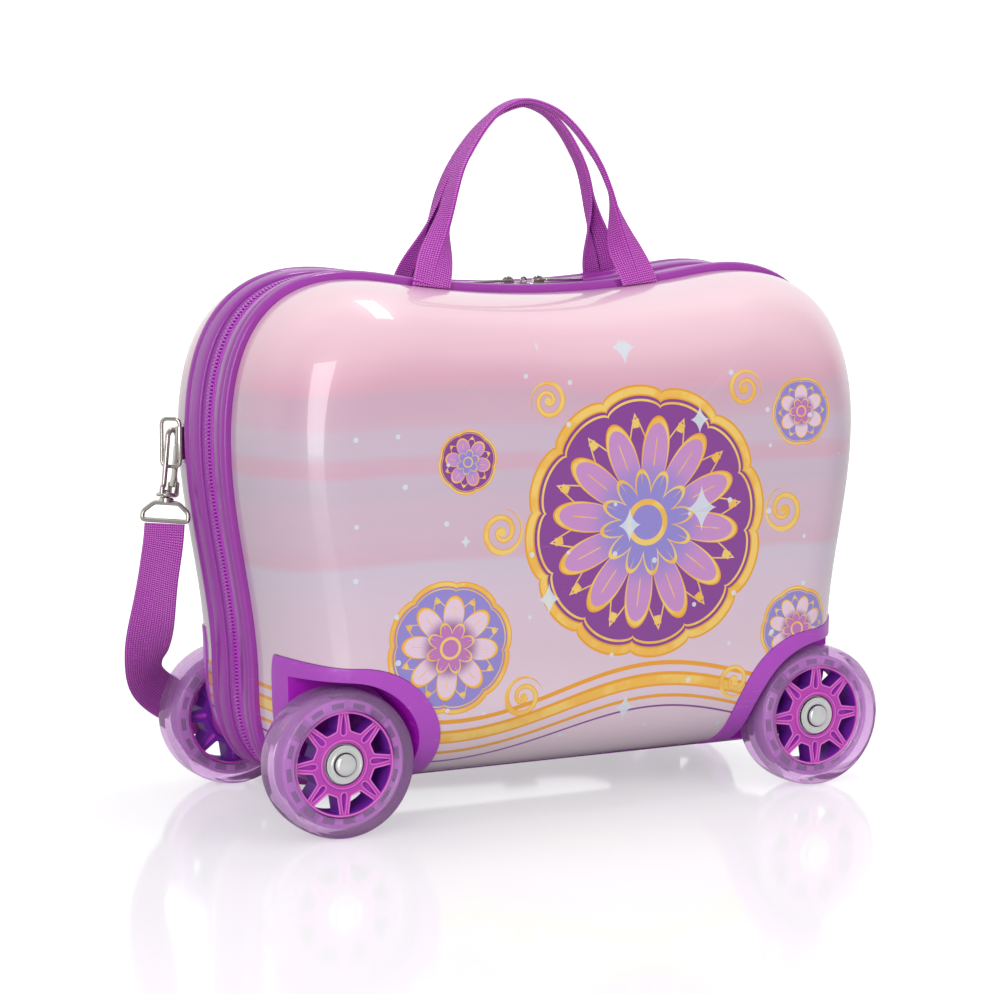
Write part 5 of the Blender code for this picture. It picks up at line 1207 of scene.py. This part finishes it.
def hub_blank():
    """The hub: outer ring, web, stepped boss, eight five-sided openings, and a drop-shaped recess in each spoke."""
    bore, rim, w = BEARING_RADIUS + GAP, HUB_RADIUS, HUB_HALF_WIDTH
    profile = [(rim, w - 0.0004), (rim, -w + 0.0004), (rim - 0.0004, -w), (rim - 0.0014, -w), (0.0138, -w + 0.0004),
               (bore, -w + 0.001), (bore, w - 0.0004), (0.0134, w - 0.0004), (0.0137, w - 0.0012),
               (rim - 0.0016, w - 0.0012), (rim - 0.0012, w)]
    made = revolve("hub", rounded(profile, 0.0003, 2), HUB, 128)
    # The hollow behind the web is painted the deeper purple: painted shade.
    carve(made, revolve("hollow", [(rim - 0.0013, -w - 0.002), (rim - 0.0013, -HUB_WEB), (0.0150, -HUB_WEB),
                                   (0.0138, -w - 0.002)], HUB_SHADE, 96))
    brink, shoulder, face = rim - 0.0014, HUB_SHOULDER, w - 0.0012
    tools, ribs = [], []

    def rib(plan, grow):
        """A rounded bead on the hub's face along a closed outline, moved outwards by its own radius, in a lighter
        purple that is painted highlight.
        """
        along = np.roll(plan, -1, 0) - np.roll(plan, 1, 0)
        out = unit(np.stack([along[:, 1], -along[:, 0]], 1))
        if ((plan - plan.mean(0)) * out).sum() < 0:
            out = -out
        line = plan + out * grow
        return rod("rib", np.column_stack([line[:, 0], np.full(len(line), face), line[:, 1]]), grow, HUB_EDGE_HIGHLIGHT, 8,
                   closed=True, flat=(0, 1, 0))
    for k in range(SPOKES):
        middle = math.tau * (k + 0.5) / SPOKES
        radii = np.concatenate([np.full(11, brink), [shoulder, shoulder - 0.0003, shoulder]])
        angles = middle + np.concatenate([np.linspace(-0.292, 0.292, 11), [0.165, 0.0, -0.165]])
        wedge = rounded(np.stack([radii * np.cos(angles), radii * np.sin(angles)], 1), 0.0006, 2)
        # The openings' walls are painted the deeper purple: painted shade.
        tools.append(slab("opening", wedge, -0.02, 0.02, HUB_SHADE, "y"))
        ribs.append(rib(wedge, 0.00042))
    carve(made, join("openings", *tools))
    tools = []
    for k in range(SPOKES):
        middle = math.tau * k / SPOKES
        s = np.linspace(0, 1, 18)
        reach = 0.0153 + 0.0112 * s
        half = 0.00130 * np.sin(np.pi * s ** 0.46) ** 0.85 + 0.00012
        tear = np.concatenate([np.stack([reach, half], 1), np.stack([reach, -half], 1)[::-1]])
        turn = np.array([[math.cos(middle), -math.sin(middle)], [math.sin(middle), math.cos(middle)]])
        for low, high in ((w - 0.0046, 0.02), (-0.02, -0.0015)):
            tools.append(slab("drop", tear @ turn.T, low, high, HUB_DROP, "y"))
        ribs.append(rib(tear @ turn.T, 0.00032))
    carve(made, join("drops", *tools))
    c, s = circle(96)
    # Two rings on the hub's face, in the lighter purple: painted highlight.
    for radius, grow in ((0.0129, 0.0003), (rim - 0.0007, 0.0005)):
        ribs.append(rod("ring", np.column_stack([radius * c, np.full(96, w - 0.0003), radius * s]), grow, HUB_EDGE_HIGHLIGHT, 8,
                        closed=True, flat=(0, 1, 0)))
    return crease(join("hub", crease(made, 40), *ribs), 40)


def wheels():
    """Four wheels: tyre, light core, hub, bearing; and the washer, domed bolt and nut that hold each."""
    tyre = revolve("tyre", tyre_section(), TYRE, 128)
    core = light_rings()
    hub = hub_blank()
    w = HUB_HALF_WIDTH
    inner = BOLT_RADIUS + GAP
    face, shield = w - 0.0013, w - 0.0019
    bearing_profile = [(inner, face), (0.0062, face), (0.0063, shield), (0.0093, shield), (0.0094, face),
                       (BEARING_RADIUS, face), (BEARING_RADIUS, -w), (inner, -w)]
    bearing = crease(revolve("bearing", rounded(bearing_profile, 0.0002, 2), STEEL, 64))
    top = w + GAP
    groove, under = top - 0.0003, top - 0.0007
    washer_profile = [(inner, top), (0.0072, top), (0.0076, groove), (0.0088, groove), (0.0093, top),
                      (WASHER_RADIUS, top - 0.0001), (WASHER_RADIUS, under), (inner, under)]
    washer = crease(revolve("washer", rounded(washer_profile, 0.0002, 2), ZINC, 64))
    seat, tip, head = top + GAP, NUT_LOW - 0.001, BOLT_HEAD_RADIUS
    t = np.linspace(0, math.pi / 2, 12)
    dome = np.stack([head * np.cos(t) ** 0.9, seat + BOLT_HEAD_EDGE + BOLT_DOME * np.sin(t)], 1)
    profile = np.concatenate([[(ON_AXIS, tip), (BOLT_RADIUS - 0.0006, tip), (BOLT_RADIUS, tip + 0.0006),
                               (BOLT_RADIUS, seat), (head, seat)], dome[:-1],
                              [(ON_AXIS, seat + BOLT_HEAD_EDGE + BOLT_DOME)]])
    # A dark ring round the foot of the bolt head: painted shade in the seam against the washer.
    seam = revolve("bolt_seam", [(head - 0.0003, seat - 0.0002), (head + 0.0007, seat - 0.0002),
                                 (head + 0.0006, seat + 0.0004), (head - 0.0003, seat + 0.0006)], SEAM_SHADE, 64)
    bolt = crease(join("bolt", revolve("bolt_shank", profile, ZINC, 48), seam))
    corner = NUT_ACROSS / math.sqrt(3)
    nut = slab("nut", corner * np.stack(circle(6), 1), NUT_LOW, NUT_LOW + NUT_HEIGHT, STEEL, "y")
    carve(nut, bar("nut_bore", (0, NUT_LOW - 0.002, 0), (0, NUT_LOW + NUT_HEIGHT + 0.002, 0), inner, STEEL, 32,
                   (1, 0, 0)))
    soften(nut, 0.0004, 2)
    fixed = ((washer, "axle_washer", "bright_metal"), (bolt, "axle_bolt", "bright_metal"),
             (nut, "axle_nut", "bearing_steel"))
    turning = ((tyre, "tyre", "tyre_clear"), (core, "light_ring", "light_ring"), (hub, "hub", "hub_plastic"),
               (bearing, "bearing", "bearing_steel"))
    for place, sx, sy in quarters():
        for group_of, body in ((fixed, body_of_half(place)), (turning, "wheel_" + place)):
            for source, kind, finish in group_of:
                piece = turned_over(source, f"{kind}_{place}_turned", 1, sy)
                piece.data.transform(Matrix.Translation((sx * WHEEL_X, sy * WHEEL_Y, WHEEL_RADIUS)))
                settle(piece, body, finish, f"{kind}_{place}")
    drop(*(source for source, _, _ in fixed + turning))


# ---------------------------------------------------------------- webbing

def spline_through(points, count):
    """Evenly spread points on a cubic Hermite curve through given points, and their parameters."""
    points = np.array(points, float)
    gaps = np.sqrt(np.linalg.norm(np.diff(points, axis=0), axis=1))
    knots = np.concatenate([[0], np.cumsum(gaps)])
    slopes = np.gradient(points, knots, axis=0)
    fine_t = np.linspace(0, knots[-1], 3000)
    i = np.clip(np.searchsorted(knots, fine_t, "right") - 1, 0, len(gaps) - 1)
    h = gaps[i][:, None]
    s = ((fine_t - knots[i]) / gaps[i])[:, None]
    fine = ((2 * s ** 3 - 3 * s ** 2 + 1) * points[i] + (s ** 3 - 2 * s ** 2 + s) * h * slopes[i]
            + (3 * s ** 2 - 2 * s ** 3) * points[i + 1] + (s ** 3 - s ** 2) * h * slopes[i + 1])
    along = run_along(fine)
    even = np.linspace(0, along[-1], count)
    return read_at(even, along, fine), np.interp(even, along, fine_t) / knots[-1]


def webbing(name, centres, across, thick):
    """A band of webbing: at each station a flat section with rounded selvedges, |x|^8 + |y|^2 = 1 in shape.

    U is the run along the band and V the place across, in metres.
    """
    c, s = circle(36)
    a = np.sign(c) * np.abs(c) ** 0.5
    b = np.sign(s) * (1 - np.abs(a) ** 8) ** 0.5
    wide, high = a * WEBBING_WIDTH / 2, b * WEBBING_WALL / 2
    rings = centres[:, None] + across[:, None] * wide[None, :, None] + thick[:, None] * high[None, :, None]
    uv = np.stack(np.broadcast_arrays(run_along(centres)[:, None], wide[None, :]), -1)
    return tube(name, rings, WEBBING, uv=uv)


def square_to(line, across):
    """A band's width and thickness directions, made square to the line."""
    along = unit(np.gradient(line, axis=0))
    across = unit(across - (across * along).sum(1)[:, None] * along)
    return across, np.cross(along, across)


def handle_line(name, side):
    """A handle's middle line: legs that lean in over the saddle and meet in a round arch."""
    feet, top_x, bow = HANDLE_FEET[name], HANDLE_TOP_X[name], HANDLE_BOW[name]
    foot_y, top_y = side * HANDLE_Y, side * GRIP_Y
    # Shares of the way out to the foot and of the rise, from the top of the arch down
    half = [(0.0, 1.0), (0.25, 0.955), (0.42, 0.87), (0.575, 0.75), (0.69, 0.63), (0.79, 0.46), (0.91, 0.22),
            (1.0, 0.0)]
    points = []
    for foot_x, row, way in ((feet[0], half[:0:-1], -1), (feet[1], half, 1)):
        foot, _ = on_saddle(foot_x, GAP + 0.0002)
        rise = HANDLE_TOP_Z[name] - foot.z
        points += [(top_x + (foot_x - top_x) * (a + way * bow * 4 * a * (1 - a)), foot_y + (top_y - foot_y) * b,
                    foot.z + rise * b) for a, b in row]
    return points


def folded_webbing(name, centres, across, thick, fold, width, inward):
    """A band folded lengthwise by a share of half a turn, as a closed skin.

    The section runs s from -w/2 to w/2: a flat half, an arc of radius FOLD_RADIUS that turns by pi times the
    fold, and the other half leaving it straight. The whole is shifted back so that it stays about the line.
    U is the run along the band and V is s, in metres.
    """
    bend = np.maximum(math.pi * fold, 1e-4)[:, None]
    arc = FOLD_RADIUS * bend / 2
    flat = np.linspace(0, 1, 13)[None, :]
    s = np.concatenate([-width / 2 + flat * (width / 2 - arc), -arc + np.linspace(0, 1, 11)[None, 1:-1] * 2 * arc,
                        arc + flat * (width / 2 - arc)], 1)
    heading = bend * np.clip((s + arc) / (2 * arc), 0, 1)
    before, after = np.minimum(s + arc, 0), np.maximum(s - arc, 0)
    u = before + FOLD_RADIUS * np.sin(heading) + after * np.cos(bend) + (width / 4 - FOLD_RADIUS * 0.8) * fold[:, None]
    u -= arc * (1 - fold[:, None])
    v = FOLD_RADIUS * (1 - np.cos(heading)) + after * np.sin(bend) - FOLD_RADIUS * fold[:, None]
    half = (WEBBING_WALL * 0.42 + (GRIP_LAYER - WEBBING_WALL * 0.84) / 2 * fold)[:, None]
    outer = np.stack([u - half * np.sin(heading), v + half * np.cos(heading)], -1)
    under = np.stack([u + half * np.sin(heading), v - half * np.cos(heading)], -1)[:, ::-1]
    t = np.linspace(math.pi / 2, -math.pi / 2, 7)[None, 1:-1]
    caps = []
    for column, way in ((-1, 1), (0, -1)):
        h, turn = heading[:, column, None], (t if way > 0 else -t)
        out, up = way * np.cos(turn), np.sin(turn)
        caps.append(np.stack([u[:, column, None] + half * (out * np.cos(h) - up * np.sin(h)),
                              v[:, column, None] + half * (out * np.sin(h) + up * np.cos(h))], -1))
    section = np.concatenate([outer, caps[0], under, caps[1]], 1)
    place = np.concatenate([s, np.repeat(s[:, -1:], 5, 1), s[:, ::-1], np.repeat(s[:, :1], 5, 1)], 1)
    rings = centres[:, None] + across[:, None] * section[..., :1] + thick[:, None] * section[..., 1:] * inward
    uv = np.stack([np.broadcast_to(run_along(centres)[:, None], place.shape), place], -1)
    return tube(name, rings, WEBBING, uv=uv)


def handles():
    """Two webbing loops: flat against the rims at their feet, wound round and folded in two along the grip."""
    for name, side, body in (("front", -1, "handle_front"), ("back", 1, "handle_back")):
        centres, t = spline_through(handle_line(name, side), 170)
        fold = eased(np.clip(np.minimum(t, 1 - t) / FOLD_SHARE, 0, 1))
        first, last = np.radians(HANDLE_WIND[name])
        middle = np.clip((t - FOLD_SHARE) / (1 - 2 * FOLD_SHARE), 0, 1)
        wind = np.where(t < 0.5, first * fold + (last - first) * middle,
                        math.pi - (math.pi - last) * fold - (last - first) * (1 - middle))
        across, thick = square_to(centres, np.stack([np.cos(wind), side * np.sin(wind), 0 * t], 1))
        for end, foot_x in zip((0, -1), HANDLE_FEET[name]):
            along_saddle = np.array([1.0, 0.0, foot_x / SADDLE_RADIUS])
            across[end] = along_saddle / (along_saddle @ across[end])
        made = folded_webbing("handle_" + name + "_webbing", centres, across, thick, fold, HANDLE_WIDTH, -side)
        settle(made, body, "webbing", "handle_" + name)


def ring_side(x, y, z):
    """A point given from the foot of the left ring's own axis."""
    return Vector((-RING_X + x, RING_Y + y, z))


def hook_frame():
    """Where the left hook's swivel stands: its foot, its axis, and the hook's and loop's flat directions."""
    away = Vector((-math.sin(RING_SWING), math.cos(RING_SWING), 0)) * RING_CATCH
    axis = Vector((*HOOK_SLOPE, 1)).normalized()
    foot = ring_side(0, 0, RING_LOW_Z) + away - axis * HOOK_CATCH_RISE
    flats = []
    for turn in (HOOK_TURN, LOOP_TURN):
        flat = Vector((math.cos(turn), math.sin(turn), 0))
        flats.append((flat - axis * flat.dot(axis)).normalized())
    return foot, axis, flats[0], flats[1]


def stand(flat, axis, foot):
    """The matrix that stands an upright piece on a foot, along an axis and turned to a flat direction."""
    return Matrix.Translation(foot) @ Matrix((flat, axis.cross(flat), axis)).transposed().to_4x4()


def strap():
    """The strap from loop to loop, leaving each loop flat and wound over until it stands on its edge."""
    foot, axis, _, loop_flat = hook_frame()
    start = foot - axis * (LOOP_DROP + LOOP_WIRE + GAP)
    left = [start, start - axis * 0.010, *(Vector(p) * MM for p in STRAP_END)]
    points = left + [Vector(p) * MM for p in STRAP_MIDDLE] + [Vector((-p.x, p.y, p.z)) for p in left[::-1]]
    centres, _ = spline_through(points, 421)
    half = len(centres) // 2
    across = np.zeros_like(centres)
    upright = Vector((0, 0, 1))
    for rows, way in ((list(range(half)), 1), (list(range(len(centres) - 1, half - 1, -1)), -1)):
        flat = Vector((loop_flat.x * way, loop_flat.y, loop_flat.z))
        span, begin = len(rows) * STRAP_TURN[1], len(rows) * STRAP_TURN[0]
        line = [Vector(centres[i]) for i in rows]
        for i, point in enumerate(line):
            along = (line[min(i + 1, len(line) - 1)] - line[max(i - 1, 0)]).normalized()
            flat = (flat - along * flat.dot(along)).normalized()
            edge = (upright - along * upright.dot(along)).normalized()
            angle = math.atan2(flat.cross(edge).dot(along), flat.dot(edge))
            share = min(max((i - begin) / (span - begin), 0), 1)
            across[rows[i]] = Matrix.Rotation(angle * eased(share), 3, along) @ flat
    across, thick = square_to(centres, across)
    made = webbing("tow_strap_webbing", centres, across, thick)
    settle(made, "case_back", "webbing", "tow_strap")
    spot = int(np.argmin(np.abs(centres[:, 0] - ADJUSTER_X)))
    along = Vector(centres[spot + 1] - centres[spot - 1])
    along.z = 0
    place = stand(along.normalized(), Vector((0, 0, 1)), Vector(centres[spot]))
    high, thin = WEBBING_WIDTH / 2 + 2 * GAP, WEBBING_WALL / 2 + 0.0006
    bars = [bar("slide_bar", (x, y, -high - 0.0008), (x, y, high + 0.0008), 0.0011, NICKEL, 16, (1, 0, 0))
            for x, y in ((-0.0095, thin + 0.0011), (0.0095, thin + 0.0011), (0.0, -thin - 0.0011))]
    cheeks = []
    for s in (-1, 1):
        low, top = sorted((s * (high + 0.0002), s * (high + 0.0022)))
        cheeks.append(soften(block("slide_cheek", (-0.0108, -thin - 0.0022, low), (0.0108, thin + 0.0022, top), NICKEL),
                             0.0005))
    buckle = join("strap_slide", *bars, *cheeks)
    buckle.data.transform(place)
    settle(crease(buckle, 40), "case_back", "bright_metal", "strap_adjuster")


def ring_hardware():
    """Plate, barrel and swinging ring on each end wall."""
    middle = RING_LOW_Z + RING_HEIGHT / 2
    low, high = middle - BARREL_LENGTH / 2, middle + BARREL_LENGTH / 2
    wall_x = -HALF_LENGTH - GAP
    radius = RING_WIRE + GAP + BARREL_WALL
    near_y = RIM_EDGE + 2 * GAP
    plate = soften(block("plate", (wall_x - PLATE_THICK, near_y, low - 0.003),
                         (wall_x, near_y + PLATE_LENGTH, high + 0.003), NICKEL), 0.0005, 3)
    neck = block("plate_neck", (-RING_X, RING_Y - radius * 0.8, low),
                 (wall_x - PLATE_THICK / 2, RING_Y + radius * 0.8, high), NICKEL)
    carve(neck, bar("barrel", ring_side(0, 0, low), ring_side(0, 0, high), radius, NICKEL, 32, (1, 0, 0)), "UNION")
    carve(neck, bar("barrel_bore", ring_side(0, 0, low - 0.005), ring_side(0, 0, high + 0.005), RING_WIRE + GAP, NICKEL,
                    24, (1, 0, 0)))
    soften(neck, 0.0003)
    rivets = [revolve("rivet", [(ON_AXIS, 0.0), (0.0013, 0.0), (0.0012, 0.0004), (0.0006, 0.0007), (ON_AXIS, 0.0008)],
                      STEEL, 20) for _ in (0, 1)]
    for rivet, z in zip(rivets, (low - 0.0012, high + 0.0012)):
        rivet.data.transform(Matrix.Translation((wall_x - PLATE_THICK, near_y + PLATE_LENGTH * 0.5, z))
                             @ Matrix.Rotation(math.pi / 2, 4, "Z"))
    plate = join("ring_plate_body", plate, neck, *rivets)
    away = Vector((-math.sin(RING_SWING), math.cos(RING_SWING), 0)) * RING_REACH
    near, far = ring_side(0, 0, 0), ring_side(0, 0, 0) + away
    up = Vector((0, 0, 1))
    corners = [near + up * RING_LOW_Z, near + up * (RING_LOW_Z + RING_HEIGHT), far + up * (RING_LOW_Z + RING_HEIGHT),
               far + up * RING_LOW_Z]
    line = rounded(np.array([tuple(c) for c in corners]), 0.0034, 8)
    ring = rod("ring", line, RING_WIRE, NICKEL, 16, closed=True)
    for side, sx in (("left", 1), ("right", -1)):
        settle(crease(turned_over(plate, "ring_plate_" + side + "_plated", sx), 40), "case_back", "bright_metal",
               "ring_plate_" + side)
        settle(turned_over(ring, "strap_ring_" + side + "_plated", sx), "ring_" + side, "bright_metal",
               "strap_ring_" + side)
    drop(plate, ring)


def swivels():
    """Snap hook, sprung gate and swivel loop, made upright about the swivel's axis and then stood in place."""
    foot, axis, hook_flat, loop_flat = hook_frame()
    top = FLANGE_LOW + FLANGE_HEIGHT
    root = POST_HEAD_RADIUS + GAP + HOOK_WIRE
    clear = top + POST_HEAD_HEIGHT + 2 * GAP
    arch, middle = (HOOK_SHANK + HOOK_NOSE) / 2, (HOOK_NOSE - HOOK_SHANK) / 2
    t = np.linspace(0, math.pi, 22)
    lower = cubic((-root, 0, clear), (-root, 0, clear + 0.0015), (-HOOK_SHANK, 0, clear + 0.0012),
                  (-HOOK_SHANK, 0, clear + 0.0030), 8)
    line = np.concatenate([[(-root, 0, FLANGE_LOW + FLANGE_HEIGHT / 2)], lower, [(-HOOK_SHANK, 0, 0.018)],
                           np.stack([middle - arch * np.cos(t), 0 * t, HOOK_RISE + arch * np.sin(t)], 1),
                           [(HOOK_NOSE, 0, HOOK_MOUTH + GAP)]])
    shank = rod("shank", line, HOOK_WIRE, NICKEL, 18, flat=(0, 1, 0))
    bore, edge = POST_RADIUS + GAP, FLANGE_RADIUS
    flange_profile = [(bore, 0), (edge - 0.0008, 0), (edge, 0.0008), (edge - 0.0003, 0.0016),
                      (edge - 0.0012, FLANGE_HEIGHT), (bore, FLANGE_HEIGHT)]
    flange = revolve("flange", rounded(flange_profile, 0.0003, 3), NICKEL, 48)
    flange.data.transform(Matrix.Translation((0, 0, FLANGE_LOW)) @ Matrix.Rotation(math.pi / 2, 4, "X"))
    cheek = GATE_WIDTH / 2 + GAP
    profile = rounded(both_sides([(0.0016, FLANGE_LOW + 0.0005), (0.0016, GATE_PIN_RISE + 0.0016)], HOOK_NOSE),
                      0.0014, 5)
    ears = [soften(slab("ear", profile, *sorted((s * cheek, s * (cheek + 0.001))), NICKEL, "y"), 0.0002)
            for s in (-1, 1)]
    pin = bar("gate_pin", (HOOK_NOSE, -cheek - 0.0012, GATE_PIN_RISE), (HOOK_NOSE, cheek + 0.0012, GATE_PIN_RISE),
              0.0007, STEEL, 16, (0, 0, 1))
    hook = join("hook", shank, flange, pin, *ears)
    blade = rounded(both_sides([(0.0017, GATE_PIN_RISE - 0.0015), (0.0015, GATE_PIN_RISE + 0.002),
                                (GATE_WALL / 2, GATE_PIN_RISE + 0.0045), (GATE_WALL / 2, HOOK_MOUTH)], HOOK_NOSE),
                    0.001, 4)
    gate = slab("gate", blade, -GATE_WIDTH / 2, GATE_WIDTH / 2, NICKEL, "y")
    carve(gate, bar("gate_bore", (HOOK_NOSE, -0.004, GATE_PIN_RISE), (HOOK_NOSE, 0.004, GATE_PIN_RISE), 0.001, NICKEL,
                    16, (0, 0, 1)))
    soften(gate, 0.0003)
    bail_line = both_sides([(LOOP_TOP_HALF, -LOOP_WIRE), (LOOP_HALF, -LOOP_SHOULDER), (LOOP_HALF, -LOOP_DROP)])
    bail = rod("bail", rounded(np.insert(bail_line, 1, 0, axis=1), 0.002, 6), LOOP_WIRE, NICKEL, 16, closed=True)
    low, cap, high = FLANGE_LOW - GAP, top + GAP, top + GAP + POST_HEAD_HEIGHT
    collar_profile = [(ON_AXIS, -LOOP_WIRE), (0.004, -LOOP_WIRE), (0.004, low - 0.0006), (0.0034, low),
                      (POST_RADIUS, low), (POST_RADIUS, cap), (POST_HEAD_RADIUS, cap),
                      (POST_HEAD_RADIUS - 0.0005, high), (ON_AXIS, high)]
    collar = revolve("collar", rounded(collar_profile, 0.0002, 2), NICKEL, 40)
    collar.data.transform(Matrix.Rotation(math.pi / 2, 4, "X"))
    loop = join("loop", bail, collar)
    for source, name, flat, kind in ((hook, "snap_hook", hook_flat, "hook"), (gate, "snap_gate", hook_flat, "gate"),
                                     (loop, "swivel_loop", loop_flat, None)):
        source.data.transform(stand(flat, axis, foot))
        crease(source, 40)
        for side, sx in (("left", 1), ("right", -1)):
            settle(turned_over(source, f"{name}_{side}_plated", sx), f"{kind}_{side}" if kind else "case_back",
                   "bright_metal", f"{name}_{side}")
        drop(source)


# ---------------------------------------------------------------- room, lights and camera

def studio():
    """A pale floor, a soft white room and three soft panels.

    The room is white to the camera and in clear pieces, dimmer on one side in gloss, and lights the case at
    ROOM_LIGHT. The floor shows a faint sheen of what stands on it, and its own glow, which the camera sees and
    which grows away from the case, keeps it pale.
    """
    points = [(x * FLOOR_REACH, y * FLOOR_REACH, 0) for x, y in ((-1, -1), (1, -1), (1, 1), (-1, 1))]
    paint, w, surface, place = new_finish("floor_paint", Base_Color=(0.62, 0.62, 0.63, 1), Roughness=0.09, IOR=1.33,
                                          Emission_Color=WHITE)
    rays = w.put("ShaderNodeLightPath").outputs
    away = w.put("ShaderNodeVectorMath", {0: place["Object"]}, operation="LENGTH").outputs["Value"]
    glow = w.plus(w.times(w.step(away, 0.35, 0.9), FLOOR_GLOW_FAR), FLOOR_GLOW)
    w.give(surface, Emission_Strength=w.times(w.most(rays["Is Camera Ray"], rays["Is Transmission Ray"]), glow))
    mesh_of("floor", points, [(0, 1, 2, 3)], paint)
    world = bpy.data.worlds.new("room")
    world.use_nodes = True
    bpy.context.scene.world = world
    w = Wiring(world.node_tree)
    rays = w.put("ShaderNodeLightPath").outputs
    seen = w.most(rays["Is Camera Ray"], rays["Is Transmission Ray"])
    toward = w.split(w.put("ShaderNodeTexCoord").outputs["Generated"])[1]
    side = w.plus(w.times(w.step(toward, -0.3, 0.3), 1 - DIM_SIDE), DIM_SIDE)
    shown = w.most(seen, w.times(rays["Is Glossy Ray"], side))
    lit = w.times(w.minus(1.0, w.most(seen, rays["Is Glossy Ray"])), ROOM_LIGHT)
    w.give(world.node_tree.nodes["Background"].inputs, Color=WHITE, Strength=w.times(w.plus(shown, lit), 1.01))
    for name, spot, aim, size, power, glossy in LAMPS:
        lamp = bpy.data.lights.new(name, "AREA")
        lamp.shape, lamp.size, lamp.size_y, lamp.energy = "RECTANGLE", size[0], size[1], power
        made = linked(name, lamp)
        made.location = spot
        made.rotation_euler = (Vector(aim) - Vector(spot)).to_track_quat("-Z", "Y").to_euler()
        made.visible_glossy = glossy


def camera():
    """The photograph's viewpoint: low, from the front left, with a long lens."""
    yaw, pitch = VIEW_YAW, VIEW_PITCH
    lens = bpy.data.cameras.new("viewpoint")
    lens.sensor_width, lens.lens = 36.0, VIEW_LENS
    lens.clip_start, lens.clip_end = 0.05, 60.0
    made = linked("viewpoint", lens)
    made.location = VIEW_SPOT
    look = Vector((math.sin(yaw) * math.cos(pitch), math.cos(yaw) * math.cos(pitch), -math.sin(pitch)))
    made.rotation_euler = look.to_track_quat("-Z", "Y").to_euler()
    bpy.context.scene.camera = made
    bpy.context.scene.view_settings.view_transform = "Standard"


camera()
strap()
swivels()
ring_hardware()
shells()
linings()
rims()
zip_halves()
zip_sliders()
housings()
wheels()
handles()
studio()
